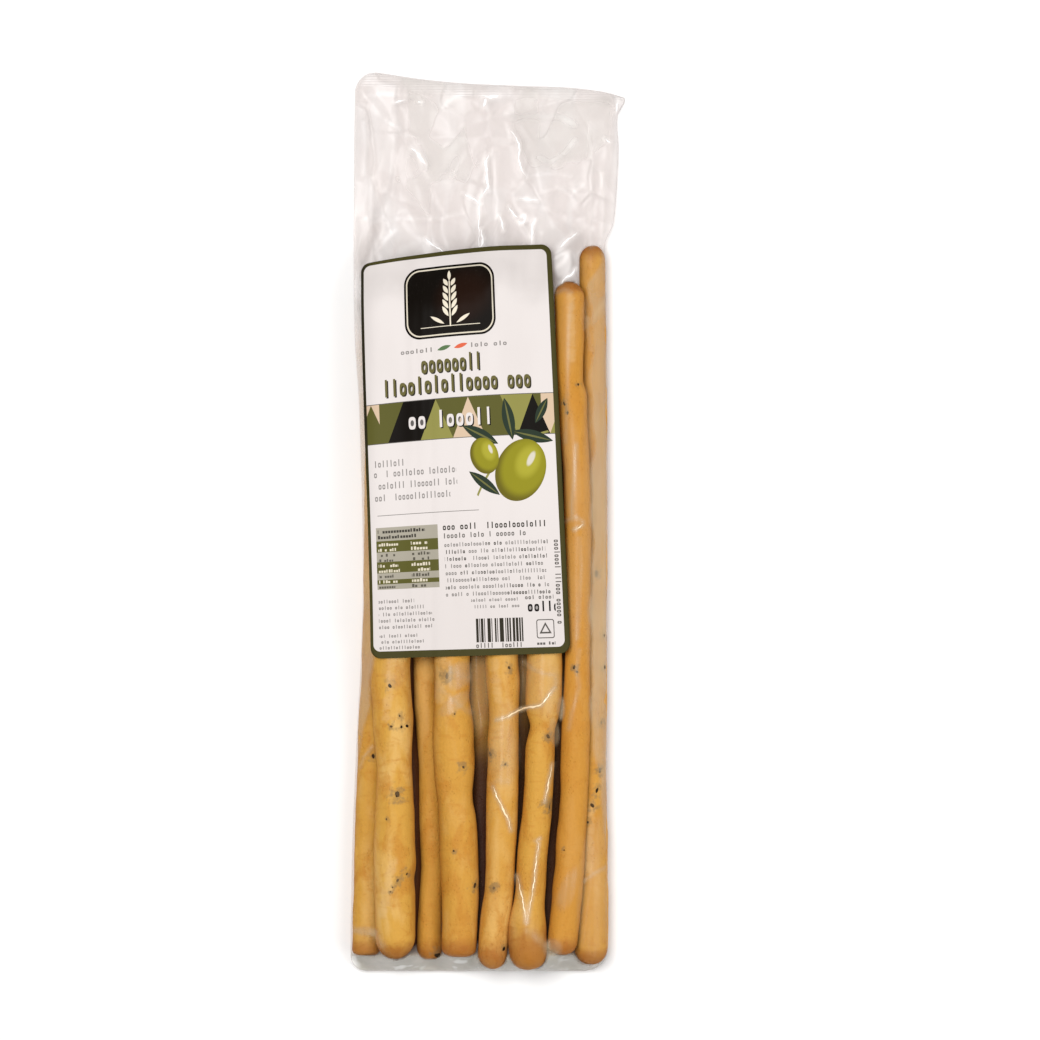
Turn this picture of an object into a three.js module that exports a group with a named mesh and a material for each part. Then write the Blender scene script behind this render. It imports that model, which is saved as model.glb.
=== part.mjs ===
import * as THREE from 'three';

// A clear film bag of long breadsticks with a paper label, lying on its back.
// Millimetres: +X to the right, +Y to the bag's top, +Z up, origin under the middle of its box.

// Driving dimensions of the film.
const bagFoot = -194;
const headRow = 119;
const sealThickness = 0.8;
const filmSlack = 0.5;
const footCornerRadius = { left: 7, right: 10 };
const topCornerRadius = 9;
const looseFilmHeight = 3.4;
const filmContactLimit = 0.8;
const headTentSlope = 0.42;
const footBluntness = 0.6;
const valleyRounding = 2.4;
const edgeRollWidth = { side: 6, foot: 6.5, top: 9 };

// Where the film's sides run, as [y, x].
const filmLeft = [
  [-184, -59.1], [-141, -58.3], [-107, -57], [-55, -54.4], [-21, -53.6],
  [48, -55.3], [82, -57.3], [142, -57.8], [194, -57.2],
];
const filmRight = [
  [-184, 51.9], [-107, 51.4], [48, 51.7], [110, 50.9], [120, 50.8],
  [128, 54.2], [143, 55.7], [160, 56.5], [174, 56.1], [181, 59.1], [184, 59.1],
];

// The cut edge across the top, as [x, y].
const filmTopEdge = [
  [-49, 194], [-27, 190.8], [-7, 189], [14, 188.1], [35, 187.3], [50, 185.5], [59.1, 183],
];

// How high the side seams and the two ends lie, as [y, z].
const seamHeight = [[-194, 3.2], [-180, 6.4], [100, 6.4], [125, 3.6], [160, 1.6], [194, 1.2]];

// Breadsticks: axis height at foot and head, and knots of [y, x, radius] from foot to head.
const sticks = {
  leftLow: {
    axis: [6.6, 6],
    knots: [[-187, -52.5, 6], [-147, -51.3, 6.2], [-90, -49.6, 6], [-60, -48.6, 5.5], [82, -48.5, 5.6]],
  },
  leftFront: {
    axis: [15.2, 16.6],
    knots: [[-188, -39.5, 8.8], [-147, -39.9, 8.9], [-118, -39.9, 8.2], [-89, -40.9, 8.4],
      [-60, -41.6, 8.9], [0, -41.5, 8.2], [98, -41.8, 7.8]],
  },
  gapLow: {
    axis: [6.5, 6.5],
    knots: [[-189, -24.7, 6], [-118, -25.8, 6.1], [-60, -27.5, 6], [88, -27.5, 6]],
  },
  middleFront: {
    axis: [16, 14.6],
    knots: [[-187, -12.3, 7.6], [-147, -12.2, 8.7], [-118, -13.3, 8], [-89, -14.6, 8.9],
      [-60, -15.5, 8], [10, -16, 8.2], [96, -15.5, 7.6]],
  },
  shadeLow: {
    axis: [6.2, 6.2],
    knots: [[-182, -2.6, 5.7], [-60, -2.8, 5.8], [92, -2, 5.6]],
  },
  slimFront: {
    axis: [17, 16.6],
    knots: [[-192, 2.6, 6.2], [-147, 4.9, 6.1], [-118, 5.4, 6.5], [-89, 6.6, 6.8],
      [-60, 6.4, 7.4], [20, 5, 6.9], [103, 4, 6.6]],
  },
  hiddenLow: {
    axis: [6.3, 6.3],
    knots: [[-184, 9.4, 5.8], [-60, 14, 5.8], [86, 14, 5.8]],
  },
  neckedFront: {
    axis: [17.8, 16.6],
    knots: [[-192, 15.8, 8.2], [-147, 19.3, 7], [-118, 20.8, 6.5], [-92, 22.7, 5.7],
      [-60, 23.7, 7.5], [10, 22, 7.2], [94, 20.5, 6.8]],
  },
  rightLow: {
    axis: [6.4, 6.4],
    knots: [[-185, 24.6, 5.9], [-60, 29.5, 5.9], [90, 29, 5.9]],
  },
  rightFront: {
    axis: [15.8, 17],
    knots: [[-186, 31.6, 6], [-147, 34.4, 6.2], [-89, 36.9, 5.8], [-60, 38, 6],
      [13, 38.7, 6], [60, 35.9, 6], [103, 35, 6.4]],
  },
  rightEdge: {
    axis: [7.8, 6.6],
    knots: [[-191, 44.4, 7.6], [-147, 44.6, 7.3], [-118, 44.5, 6.8], [-60, 44.9, 6.5],
      [13, 45.4, 6.1], [119, 45.1, 5.6]],
  },
};

// Loose film folds above the sticks: from, to, height and width of each ridge.
const folds = [
  { from: [45, 116], to: [53, 178], height: 2.6, width: 5 },
  { from: [36, 106], to: [14, 172], height: 2.8, width: 5 },
  { from: [6, 112], to: [1, 186], height: 2.2, width: 4 },
  { from: [-14, 106], to: [-34, 178], height: 2.6, width: 5 },
  { from: [-42, 104], to: [-50, 170], height: 2.4, width: 5 },
  { from: [20, 140], to: [46, 172], height: 1.8, width: 6 },
  { from: [-24, 138], to: [0, 168], height: 1.6, width: 5 },
];

// Label: corners on the film, bow of its upper edge, thickness and clearance.
const label = {
  topLeft: [-54.2, 109.5],
  topRight: [27.3, 118.2],
  bottomLeft: [-49.9, -58.6],
  bottomRight: [35.6, -56.4],
  topBow: 3,
  leftBow: 1.6,
  cornerRadius: 4.3,
  thickness: 0.4,
  clearance: 0.45,
  reach: 6,
  across: 16,
  along: 28,
};

// Rows of the bag's mesh: up to a height, in so many steps.
const bodyRows = [
  { to: -192.4, steps: 1 }, { to: -186, steps: 4 }, { to: -172, steps: 4 },
  { to: 70, steps: 32 }, { to: headRow, steps: 9 },
];
const topRowSteps = 15;

// Where the columns of each lane lie between its two valleys.
const laneSteps = [0, 0.18, 0.5, 0.82];
const lanes = [
  'leftLow', 'leftFront', 'gapLow', 'middleFront', 'slimFront', 'neckedFront', 'rightFront', 'rightEdge',
];
const frontSticks = new Set(['leftFront', 'middleFront', 'slimFront', 'neckedFront', 'rightFront']);

const mix = THREE.MathUtils.lerp;
const clamp = THREE.MathUtils.clamp;

// Smooth value at `at` of one column of a table whose first column rises.
function tableValue(table, at, column = 1) {
  const last = table.length - 1;
  if (at <= table[0][0]) return table[0][column];
  if (at >= table[last][0]) return table[last][column];
  let i = 0;
  while (at > table[i + 1][0]) i += 1;
  const slope = (k) => {
    const before = table[Math.max(k - 1, 0)];
    const after = table[Math.min(k + 1, last)];
    return (after[column] - before[column]) / (after[0] - before[0]);
  };
  const [start, end] = [table[i], table[i + 1]];
  const span = end[0] - start[0];
  const t = (at - start[0]) / span;
  const rise = t * t * (3 - 2 * t);
  const startBend = t * (1 - t) * (1 - t) * span * slope(i);
  const endBend = t * t * (t - 1) * span * slope(i + 1);
  return mix(start[column], end[column], rise) + startBend + endBend;
}

function smoothMax(a, b, rounding) {
  const overlap = Math.max(rounding - Math.abs(a - b), 0) / rounding;
  return Math.max(a, b) + overlap * overlap * rounding / 4;
}

function stickX(stick, y) {
  return tableValue(stick.knots, y, 1);
}

function stickRadius(stick, y) {
  return tableValue(stick.knots, y, 2);
}

// Height of film laid over one breadstick: round on top, then straight down to its neighbours.
function drapeOverStick(stick, x, y) {
  const foot = stick.knots[0];
  const head = stick.knots[stick.knots.length - 1];
  const footCentre = foot[0] + foot[2] * footBluntness;
  const headCentre = head[0] - head[2];
  const onAxis = clamp(y, footCentre, headCentre);
  const radius = stickRadius(stick, onAxis);
  const beyondHead = Math.max(y - headCentre, 0);
  const beyondCap = Math.max(beyondHead - head[2], 0);
  const past = y > onAxis
    ? Math.min(beyondHead, head[2]) + beyondCap * headTentSlope
    : (onAxis - y) / footBluntness;
  const distance = Math.hypot(x - stickX(stick, onAxis), past) / radius;
  const axis = mix(stick.axis[0], stick.axis[1], (onAxis - foot[0]) / (head[0] - foot[0]));
  if (distance < filmContactLimit) {
    return axis + radius * Math.sqrt(1 - distance * distance) + filmSlack;
  }
  const contactHeight = Math.sqrt(1 - filmContactLimit * filmContactLimit);
  const slope = filmContactLimit / contactHeight;
  return axis + radius * (contactHeight - slope * (distance - filmContactLimit)) + filmSlack;
}

function foldHeight(fold, x, y) {
  const [fromX, fromY] = fold.from;
  const [alongX, alongY] = [fold.to[0] - fromX, fold.to[1] - fromY];
  const lengthSquared = alongX * alongX + alongY * alongY;
  const t = clamp(((x - fromX) * alongX + (y - fromY) * alongY) / lengthSquared, 0, 1);
  const away = Math.hypot(x - fromX - t * alongX, y - fromY - t * alongY) / fold.width;
  return fold.height * Math.exp(-away * away);
}

// Height of the upper film, before it rolls down to the seams.
function filmHeight(x, y) {
  let height = looseFilmHeight + folds.reduce((sum, fold) => sum + foldHeight(fold, x, y), 0);
  for (const stick of Object.values(sticks)) {
    height = smoothMax(height, drapeOverStick(stick, x, y), valleyRounding);
  }
  return height;
}

// Share of the full height at a distance from an edge that the film rolls over.
function roll(distance, width) {
  const inward = clamp(distance / width, 0, 1);
  return Math.sqrt(1 - (1 - inward) * (1 - inward));
}

function cornerInset(distance, radius) {
  const up = clamp(distance, 0, radius);
  return radius - Math.sqrt(radius * radius - (radius - up) * (radius - up));
}

// The valley between two neighbouring lanes, where the nearer breadstick ends.
function valleyX(leftName, rightName, y) {
  const [left, right] = [sticks[leftName], sticks[rightName]];
  const leftSide = stickX(left, y) + stickRadius(left, y);
  const rightSide = stickX(right, y) - stickRadius(right, y);
  if (!frontSticks.has(leftName)) return rightSide;
  if (!frontSticks.has(rightName)) return leftSide;
  return (leftSide + rightSide) / 2;
}

// Fractions of the bag's width where the mesh's columns lie at a height.
function columnFractions(y) {
  const left = tableValue(filmLeft, y);
  const right = tableValue(filmRight, y);
  const borders = [left];
  for (let i = 1; i < lanes.length; i += 1) borders.push(valleyX(lanes[i - 1], lanes[i], y));
  borders.push(right);
  const fractions = [];
  for (let i = 0; i < lanes.length; i += 1) {
    for (const step of laneSteps) {
      const x = mix(borders[i], borders[i + 1], step);
      fractions.push((x - left) / (right - left));
    }
  }
  fractions.push(1);
  return fractions;
}

// One row of the bag: where each column is, and how far the film has rolled in from the edges.
function bagRow(y, topShare) {
  const leftY = mix(y, filmTopEdge[0][1], topShare);
  const rightY = mix(y, filmTopEdge[filmTopEdge.length - 1][1], topShare);
  const fromFoot = y - bagFoot;
  const fromTop = (1 - topShare) * (filmTopEdge[0][1] - headRow) + headRow - y;
  const left = tableValue(filmLeft, leftY)
    + cornerInset(fromFoot, footCornerRadius.left) + cornerInset(fromTop, topCornerRadius);
  const right = tableValue(filmRight, rightY) - cornerInset(fromFoot, footCornerRadius.right);
  const endRoll = roll(fromFoot, edgeRollWidth.foot) * roll(fromTop, edgeRollWidth.top);
  return columnFractions(Math.min(y, 90)).map((fraction) => {
    const x = mix(left, right, fraction);
    const yHere = mix(y, tableValue(filmTopEdge, x), topShare);
    const share = endRoll * roll(x - left, edgeRollWidth.side) * roll(right - x, edgeRollWidth.side);
    const seam = tableValue(seamHeight, yHere);
    const top = Math.max(mix(seam, filmHeight(x, yHere), share), seam + sealThickness / 2);
    const bottom = Math.min(mix(seam, 0, share), seam - sealThickness / 2);
    return { x, y: yHere, seam, top, bottom };
  });
}

function bagRows() {
  const rows = [bagRow(bagFoot, 0)];
  let from = bagFoot;
  for (const { to, steps } of bodyRows) {
    for (let i = 1; i <= steps; i += 1) rows.push(bagRow(mix(from, to, i / steps), 0));
    from = to;
  }
  for (let i = 1; i <= topRowSteps; i += 1) rows.push(bagRow(headRow, i / topRowSteps));
  return rows;
}

// A closed mesh from points and triangles, each given once.
function closedGeometry(points, triangles) {
  const geometry = new THREE.BufferGeometry();
  geometry.setAttribute('position', new THREE.Float32BufferAttribute(points.flat(), 3));
  geometry.setIndex(triangles.flat());
  geometry.computeVertexNormals();
  return geometry;
}

// The sealed bag with its contents: a loop of points for each row, closed at both ends.
function makeBag() {
  const rows = bagRows();
  const columns = rows[0].length;
  const under = [];
  for (let i = laneSteps.length; i < columns - 1; i += laneSteps.length) under.push(i);
  const ring = columns + under.length;
  const points = [];
  for (const row of rows) {
    row.forEach((point, i) => {
      const height = i === 0 || i === columns - 1 ? point.seam : point.top;
      points.push([point.x, point.y, height]);
    });
    [...under].reverse().forEach((i) => points.push([row[i].x, row[i].y, row[i].bottom]));
  }
  const triangles = [];
  for (let j = 0; j + 1 < rows.length; j += 1) {
    for (let i = 0; i < ring; i += 1) {
      const next = (i + 1) % ring;
      const [a, b, c, d] = [j * ring + i, j * ring + next, (j + 1) * ring + next, (j + 1) * ring + i];
      triangles.push([a, b, c], [a, c, d]);
    }
  }
  const capStrip = (start, flip) => {
    const lower = [0, ...under.map((_, k) => ring - 1 - k), columns - 1];
    for (let k = 0; k + 1 < lower.length; k += 1) {
      const first = k * laneSteps.length;
      for (let i = 0; i < laneSteps.length; i += 1) {
        const fan = [lower[k], first + i, first + i + 1];
        if (new Set(fan).size === 3) triangles.push(orient(fan, start, flip));
      }
      const closing = [lower[k], first + laneSteps.length, lower[k + 1]];
      if (new Set(closing).size === 3) triangles.push(orient(closing, start, flip));
    }
  };
  capStrip(0, true);
  capStrip((rows.length - 1) * ring, false);
  return closedGeometry(points, triangles);
}

function orient(triangle, start, flip) {
  const [a, b, c] = triangle.map((index) => index + start);
  return flip ? [a, c, b] : [a, b, c];
}

// Height that a stiff label takes: the mean of the highest film near each point.
function labelHeight(x, y) {
  const ring = [];
  for (let i = 0; i < 8; i += 1) ring.push([Math.cos(i * Math.PI / 4), Math.sin(i * Math.PI / 4)]);
  const highest = (px, py) => Math.max(
    filmHeight(px, py),
    ...[0.5, 1].flatMap((share) => ring.map(([cx, cy]) => filmHeight(
      px + cx * share * label.reach,
      py + cy * share * label.reach,
    ))),
  );
  const samples = [[0, 0], ...ring].map(([cx, cy]) => highest(
    x + cx * label.reach * 0.8,
    y + cy * label.reach * 0.8,
  ));
  const mean = samples.reduce((sum, value) => sum + value, 0) / samples.length;
  return mean + label.clearance;
}

// A place on the label, from its lower left corner across and up, with the corners rounded.
function labelPoint(u, v) {
  const height = label.topLeft[1] - label.bottomLeft[1];
  const inset = cornerInset(Math.min(v, 1 - v) * height, label.cornerRadius);
  const bow = label.leftBow * Math.sin(Math.PI * v) * (v - 0.5);
  const leftX = mix(label.bottomLeft[0], label.topLeft[0], v) - bow + inset;
  const rightX = mix(label.bottomRight[0], label.topRight[0], v) - inset;
  const bottomY = mix(label.bottomLeft[1], label.bottomRight[1], u);
  const topY = mix(label.topLeft[1], label.topRight[1], u) + label.topBow * Math.sin(Math.PI * u);
  return [mix(leftX, rightX, u), mix(bottomY, topY, v)];
}

// Shares of the label's height where its rows lie, closer together at the rounded corners.
function labelRowShares() {
  const corner = label.cornerRadius / (label.topLeft[1] - label.bottomLeft[1]);
  const ends = [0, 0.28 * corner, corner];
  const inner = [];
  for (let i = 1; i < label.along; i += 1) inner.push(mix(corner, 1 - corner, i / label.along));
  return [...ends, ...inner, ...ends.map((share) => 1 - share).reverse()];
}

// The label: a thin sheet that lies over the film.
function makeLabel() {
  const points = [];
  const shares = labelRowShares();
  for (const share of shares) {
    for (let i = 0; i <= label.across; i += 1) {
      const [x, y] = labelPoint(i / label.across, share);
      const height = labelHeight(x, y);
      points.push([x, y, height], [x, y, height + label.thickness]);
    }
  }
  const last = shares.length - 1;
  const at = (i, j, side) => (j * (label.across + 1) + i) * 2 + side;
  const triangles = [];
  const quad = (a, b, c, d) => triangles.push([a, b, c], [a, c, d]);
  const end = label.across;
  for (let j = 0; j < last; j += 1) {
    for (let i = 0; i < end; i += 1) {
      quad(at(i, j, 1), at(i + 1, j, 1), at(i + 1, j + 1, 1), at(i, j + 1, 1));
      quad(at(i, j, 0), at(i, j + 1, 0), at(i + 1, j + 1, 0), at(i + 1, j, 0));
    }
    quad(at(0, j, 0), at(0, j, 1), at(0, j + 1, 1), at(0, j + 1, 0));
    quad(at(end, j, 0), at(end, j + 1, 0), at(end, j + 1, 1), at(end, j, 1));
  }
  for (let i = 0; i < end; i += 1) {
    quad(at(i, 0, 0), at(i + 1, 0, 0), at(i + 1, 0, 1), at(i, 0, 1));
    quad(at(i, last, 0), at(i, last, 1), at(i + 1, last, 1), at(i + 1, last, 0));
  }
  return closedGeometry(points, triangles);
}

function namedMesh(name, geometry, color, roughness) {
  const material = new THREE.MeshStandardMaterial({ color, roughness, metalness: 0 });
  const mesh = new THREE.Mesh(geometry, material);
  mesh.name = name;
  return mesh;
}

const pack = new THREE.Group();
pack.add(namedMesh('bag', makeBag(), 0xdfae66, 0.3));
pack.add(namedMesh('label', makeLabel(), 0xece3e0, 0.35));

// The origin is moved to the middle of the underside.
const box = new THREE.Box3().setFromObject(pack);
pack.position.set(-(box.min.x + box.max.x) / 2, -(box.min.y + box.max.y) / 2, -box.min.z);
pack.updateMatrixWorld(true);

export default pack;
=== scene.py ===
import math

import bpy
import numpy as np
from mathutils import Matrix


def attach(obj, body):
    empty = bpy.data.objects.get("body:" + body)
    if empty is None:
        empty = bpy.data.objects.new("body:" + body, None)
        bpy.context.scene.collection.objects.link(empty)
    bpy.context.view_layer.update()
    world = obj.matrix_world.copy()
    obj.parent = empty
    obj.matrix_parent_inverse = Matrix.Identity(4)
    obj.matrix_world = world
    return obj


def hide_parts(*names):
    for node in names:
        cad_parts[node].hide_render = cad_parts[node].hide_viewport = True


# A clear film bag of olive breadsticks with a paper label, lying on its back.
# Sizes below are in millimetres, in the frame's own axes, and become metres where a mesh is made.
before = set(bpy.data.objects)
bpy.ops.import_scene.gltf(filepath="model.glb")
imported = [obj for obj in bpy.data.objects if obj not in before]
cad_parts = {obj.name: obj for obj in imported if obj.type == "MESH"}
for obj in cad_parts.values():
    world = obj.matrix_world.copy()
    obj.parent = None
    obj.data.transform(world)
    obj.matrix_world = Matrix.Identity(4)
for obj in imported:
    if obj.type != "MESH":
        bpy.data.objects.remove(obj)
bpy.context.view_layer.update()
mm = 0.001
scene = bpy.context.scene
print("frame loaded")

# the bag's form, the same named sizes as the solid has

bag = {
    "foot": -194,
    "headRow": 119,
    "left": [(-184, -59.1), (-141, -58.3), (-107, -57), (-55, -54.4), (-21, -53.6),
             (48, -55.3), (82, -57.3), (142, -57.8), (194, -57.2)],
    "right": [(-184, 51.9), (-107, 51.4), (48, 51.7), (110, 50.9), (120, 50.8),
              (128, 54.2), (143, 55.7), (160, 56.5), (174, 56.1), (181, 59.1), (184, 59.1)],
    "topEdge": [(-49, 194), (-27, 190.8), (-7, 189), (14, 188.1), (35, 187.3), (50, 185.5), (59.1, 183)],
    "seamHeight": [(-194, 3.2), (-180, 6.4), (100, 6.4), (125, 3.6), (160, 1.6), (194, 1.2)],
    "footCorner": {"left": 7, "right": 10},
    "topCorner": 9,
    "slack": 0.5,
    "upperLayer": 12,
    "looseHeight": 3.4,
    "contactLimit": 0.8,
    "tentSlope": 0.42,
    "footBluntness": 0.6,
    "valleyRounding": 2.4,
    "roll": {"side": 6, "foot": 6.5, "top": 9},
    "folds": [
        {"from": (45, 116), "to": (53, 178), "height": 2.6, "width": 5},
        {"from": (36, 106), "to": (14, 172), "height": 2.8, "width": 5},
        {"from": (6, 112), "to": (1, 186), "height": 2.2, "width": 4},
        {"from": (-14, 106), "to": (-34, 178), "height": 2.6, "width": 5},
        {"from": (-42, 104), "to": (-50, 170), "height": 2.4, "width": 5},
        {"from": (20, 140), "to": (46, 172), "height": 1.8, "width": 6},
        {"from": (-24, 138), "to": (0, 168), "height": 1.6, "width": 5},
    ],
}

# axis: height of the middle line at foot and head. knots: (y, x, radius) from foot to head.
# footEnd and headEnd: how long the rounding of each end is, and how square it is.
# toast: how dark the crust is. bakedReach: how far the browned foot reaches.
# shade: (y, darkness) of the ones deep in the heap.
breadsticks = {
    "left_low": {
        "axis": (6.6, 6), "seed": 3, "footEnd": (3.5, 3.0), "headEnd": (6, 2.2), "toast": 0.15,
        "knots": [(-187, -52.5, 6), (-147, -51.3, 6.2), (-90, -49.6, 6), (-60, -48.6, 5.5),
                  (50, -47.6, 5.2)],
    },
    "left_front": {
        "axis": (15.2, 16.6), "seed": 8, "footEnd": (10, 2.1), "headEnd": (7, 2.0),
        "knots": [(-188, -39.2, 8.4), (-176, -39.6, 8.7), (-161, -39.7, 8.8), (-153, -40.1, 8.6),
                  (-147, -39.8, 9.1), (-139, -40, 8.9), (-122, -39.8, 8.4), (-113, -39.8, 7.9),
                  (-106, -39.8, 7.6), (-98, -40.3, 7.9), (-91, -40.7, 8.5), (-84, -40.8, 8.8),
                  (-75, -41.4, 8.6), (-60, -41.7, 8.5), (0, -41.5, 8.2), (98, -41.8, 7.8)],
    },
    "under_left": {
        "axis": (6.2, 6.2), "seed": 17, "footEnd": (5, 2.2), "headEnd": (5, 2.0),
        "shade": [(-200, 1), (120, 1)],
        "knots": [(-184, -35.2, 5.3), (-148, -33.7, 5.2), (-104, -34.7, 5.5), (-88, -36.2, 5.4),
                  (-60, -37.2, 5.5), (88, -37.2, 5.5)],
    },
    "gap_low": {
        "axis": (6.5, 6.5), "seed": 13, "footEnd": (6, 2.4), "headEnd": (6, 2.0), "toast": 0.4,
        "knots": [(-188.5, -24.6, 5.3), (-176, -25, 5.4), (-165, -24.7, 5.2), (-156, -23.9, 5.2),
                  (-147, -23.6, 5.1), (-135, -24.2, 5.3), (-126, -24.7, 5.4), (-116, -24.4, 5.5),
                  (-106, -24.3, 5.6), (-97, -24.9, 5.6), (-88, -25.6, 5.5), (-76, -26.4, 5.6),
                  (-60, -26.6, 5.6), (88, -27.3, 5.8)],
    },
    "middle_front": {
        "axis": (16, 14.6), "seed": 21, "footEnd": (4.5, 2.8), "headEnd": (7, 2.2), "toast": 0.25,
        "knots": [(-187, -12, 7.5), (-180, -12, 7.7), (-172, -11.8, 7.8), (-163, -11.7, 8.1),
                  (-144, -12.2, 8.2), (-135, -12.5, 8), (-127, -13, 7.8), (-122, -13.7, 7.5),
                  (-116, -14.3, 7.8), (-111, -14.4, 8.4), (-103, -14.4, 8.9), (-96, -14.6, 9),
                  (-88, -14.6, 8.8), (-82, -14.9, 8.2), (-76, -15.3, 7.6), (-70, -15.2, 7.8),
                  (-60, -15.4, 7.9), (10, -16, 8.2), (96, -15.5, 7.6)],
    },
    "shade_low": {
        "axis": (6.2, 6.2), "seed": 27, "footEnd": (5, 2.2), "headEnd": (5, 2.0),
        "shade": [(-200, 1), (-106, 0.97), (-94, 0.66), (-84, 0.38), (-55, 0.36), (120, 0.4)],
        "knots": [(-182, -2.6, 5.7), (-60, -2.8, 5.8), (92, -2, 5.6)],
    },
    "slim_front": {
        "axis": (17, 16.6), "seed": 34, "footEnd": (7, 2.1), "headEnd": (6, 2.0),
        "toast": 0.25, "bakedReach": 12,
        "knots": [(-192, 2.3, 6.3), (-185, 2.3, 6.4), (-172, 3.2, 6.5), (-165, 4.1, 6.4), (-158, 5, 6.2),
                  (-150, 5.5, 6.3), (-131, 6.3, 6.7), (-113, 6.5, 6.9), (-103, 6.8, 6.7), (-94, 6.8, 6.7),
                  (-84, 7.1, 6.4), (-77, 7, 6.7), (-70, 6.8, 7.3), (-60, 6.1, 7.2), (20, 5, 6.9),
                  (103, 4, 6.6)],
    },
    "hidden_low": {
        "axis": (6.3, 6.3), "seed": 41, "footEnd": (5, 2.2), "headEnd": (5, 2.0),
        "shade": [(-200, 1), (-92, 0.95), (-76, 0.7), (-55, 0.6), (120, 0.6)],
        "knots": [(-184, 9.4, 5.8), (-60, 14, 5.8), (86, 14, 5.8)],
    },
    "necked_front": {
        "axis": (17.6, 16.6), "seed": 55, "footEnd": (8, 2.5), "headEnd": (6, 2.0),
        "toast": 0.1, "bakedReach": 23,
        "knots": [(-192.4, 18.2, 7.6), (-182, 17.3, 8.3), (-174, 17.3, 8.2), (-168, 17.5, 7.5),
                  (-163, 18, 6.8), (-156, 18.6, 6.5), (-139, 19.6, 6.6), (-126, 21, 6.4), (-112, 22.1, 6.4),
                  (-97, 22.8, 6.4), (-92, 23.4, 5.8), (-88, 23.9, 5.7), (-84, 24.1, 6.7), (-79, 23.9, 7.6),
                  (-74, 24.1, 7.9), (-67, 24.3, 7.7), (-59, 24.5, 7.6), (10, 22, 7.2), (94, 20.5, 6.8)],
    },
    "right_low": {
        "axis": (6.4, 6.4), "seed": 62, "footEnd": (5, 2.2), "headEnd": (5, 2.0),
        "shade": [(-200, 1), (-88, 0.97), (-74, 0.85), (-55, 0.8), (120, 0.8)],
        "knots": [(-185, 24.6, 5.9), (-60, 29.5, 5.9), (80, 27, 5.9)],
    },
    "right_front": {
        "axis": (15.8, 17), "seed": 70, "footEnd": (6, 2.4), "headEnd": (6.5, 1.9), "toast": 0.7,
        "knots": [(-186, 31.4, 6.2), (-179, 32.3, 6.5), (-165, 33.8, 6.5), (-155, 34.6, 6.6),
                  (-146, 35.5, 6.4), (-136, 35.9, 6.5), (-127, 36.6, 6.3), (-117, 37.3, 6),
                  (-95, 37.7, 6.2), (-72, 38.4, 5.8), (-60, 38.6, 5.6), (13, 38.6, 5.9), (40, 37.1, 6),
                  (54, 36.5, 6.1), (59, 35.5, 5.7), (66, 35.1, 6), (80, 35.2, 6.3), (103, 35, 6.4)],
    },
    "right_edge": {
        "axis": (7.8, 6.6), "seed": 88, "footEnd": (9, 2.2), "headEnd": (6.5, 2.1), "toast": 0.4,
        "knots": [(-191, 44.4, 7.6), (-147, 44.6, 7.3), (-118, 44.5, 6.8), (-60, 44.9, 6.5),
                  (13, 45.4, 6.1), (119, 45.1, 5.6)],
    },
}

label = {
    "topLeft": (-54.4, 111.2), "topRight": (27.3, 119.2),
    "bottomLeft": (-49.9, -58.6), "bottomRight": (35.6, -56.4),
    "topBow": 1.7, "leftBow": 1.6, "cornerRadius": 4.3,
    "thickness": 0.25, "clearance": 0.5, "reach": 6,
    "printWidth": 88, "printHeight": 172,
    "across": 72, "along": 144,
}


def tableValue(table, at, column=1):
    keys = np.array([row[0] for row in table], float)
    values = np.array([row[column] for row in table], float)
    at = np.clip(np.asarray(at, float), keys[0], keys[-1])
    slopes = np.empty(len(keys))
    slopes[1:-1] = (values[2:] - values[:-2]) / (keys[2:] - keys[:-2])
    slopes[0] = (values[1] - values[0]) / (keys[1] - keys[0])
    slopes[-1] = (values[-1] - values[-2]) / (keys[-1] - keys[-2])
    i = np.clip(np.searchsorted(keys, at, side="right") - 1, 0, len(keys) - 2)
    span = keys[i + 1] - keys[i]
    t = (at - keys[i]) / span
    rise = t * t * (3 - 2 * t)
    bend = t * (1 - t) ** 2 * span * slopes[i] + t * t * (t - 1) * span * slopes[i + 1]
    return values[i] + (values[i + 1] - values[i]) * rise + bend


def mix(a, b, share):
    return a + (b - a) * share


def smoothMax(a, b, rounding):
    overlap = np.maximum(rounding - np.abs(a - b), 0) / rounding
    return np.maximum(a, b) + overlap * overlap * rounding / 4


def drapeOverStick(stick, x, y):
    foot, head = stick["knots"][0], stick["knots"][-1]
    footCentre = foot[0] + foot[2] * bag["footBluntness"]
    headCentre = head[0] - head[2]
    onAxis = np.clip(y, footCentre, headCentre)
    radius = tableValue(stick["knots"], onAxis, 2)
    beyondHead = np.maximum(y - headCentre, 0)
    beyondCap = np.maximum(beyondHead - head[2], 0)
    pastHead = np.minimum(beyondHead, head[2]) + beyondCap * bag["tentSlope"]
    past = np.where(y > onAxis, pastHead, (onAxis - y) / bag["footBluntness"])
    distance = np.hypot(x - tableValue(stick["knots"], onAxis, 1), past) / radius
    axis = mix(stick["axis"][0], stick["axis"][1], (onAxis - foot[0]) / (head[0] - foot[0]))
    limit = bag["contactLimit"]
    contactHeight = math.sqrt(1 - limit * limit)
    onTop = np.sqrt(np.maximum(1 - distance * distance, 0))
    beside = contactHeight - limit / contactHeight * (distance - limit)
    return axis + radius * np.where(distance < limit, onTop, beside) + bag["slack"]


def ridge(x, y, start, end, height, width, power=2.0):
    along = (end[0] - start[0], end[1] - start[1])
    squared = along[0] ** 2 + along[1] ** 2
    t = np.clip(((x - start[0]) * along[0] + (y - start[1]) * along[1]) / squared, 0, 1)
    away = np.hypot(x - start[0] - t * along[0], y - start[1] - t * along[1]) / width
    return height * np.exp(-away ** power)


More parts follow.
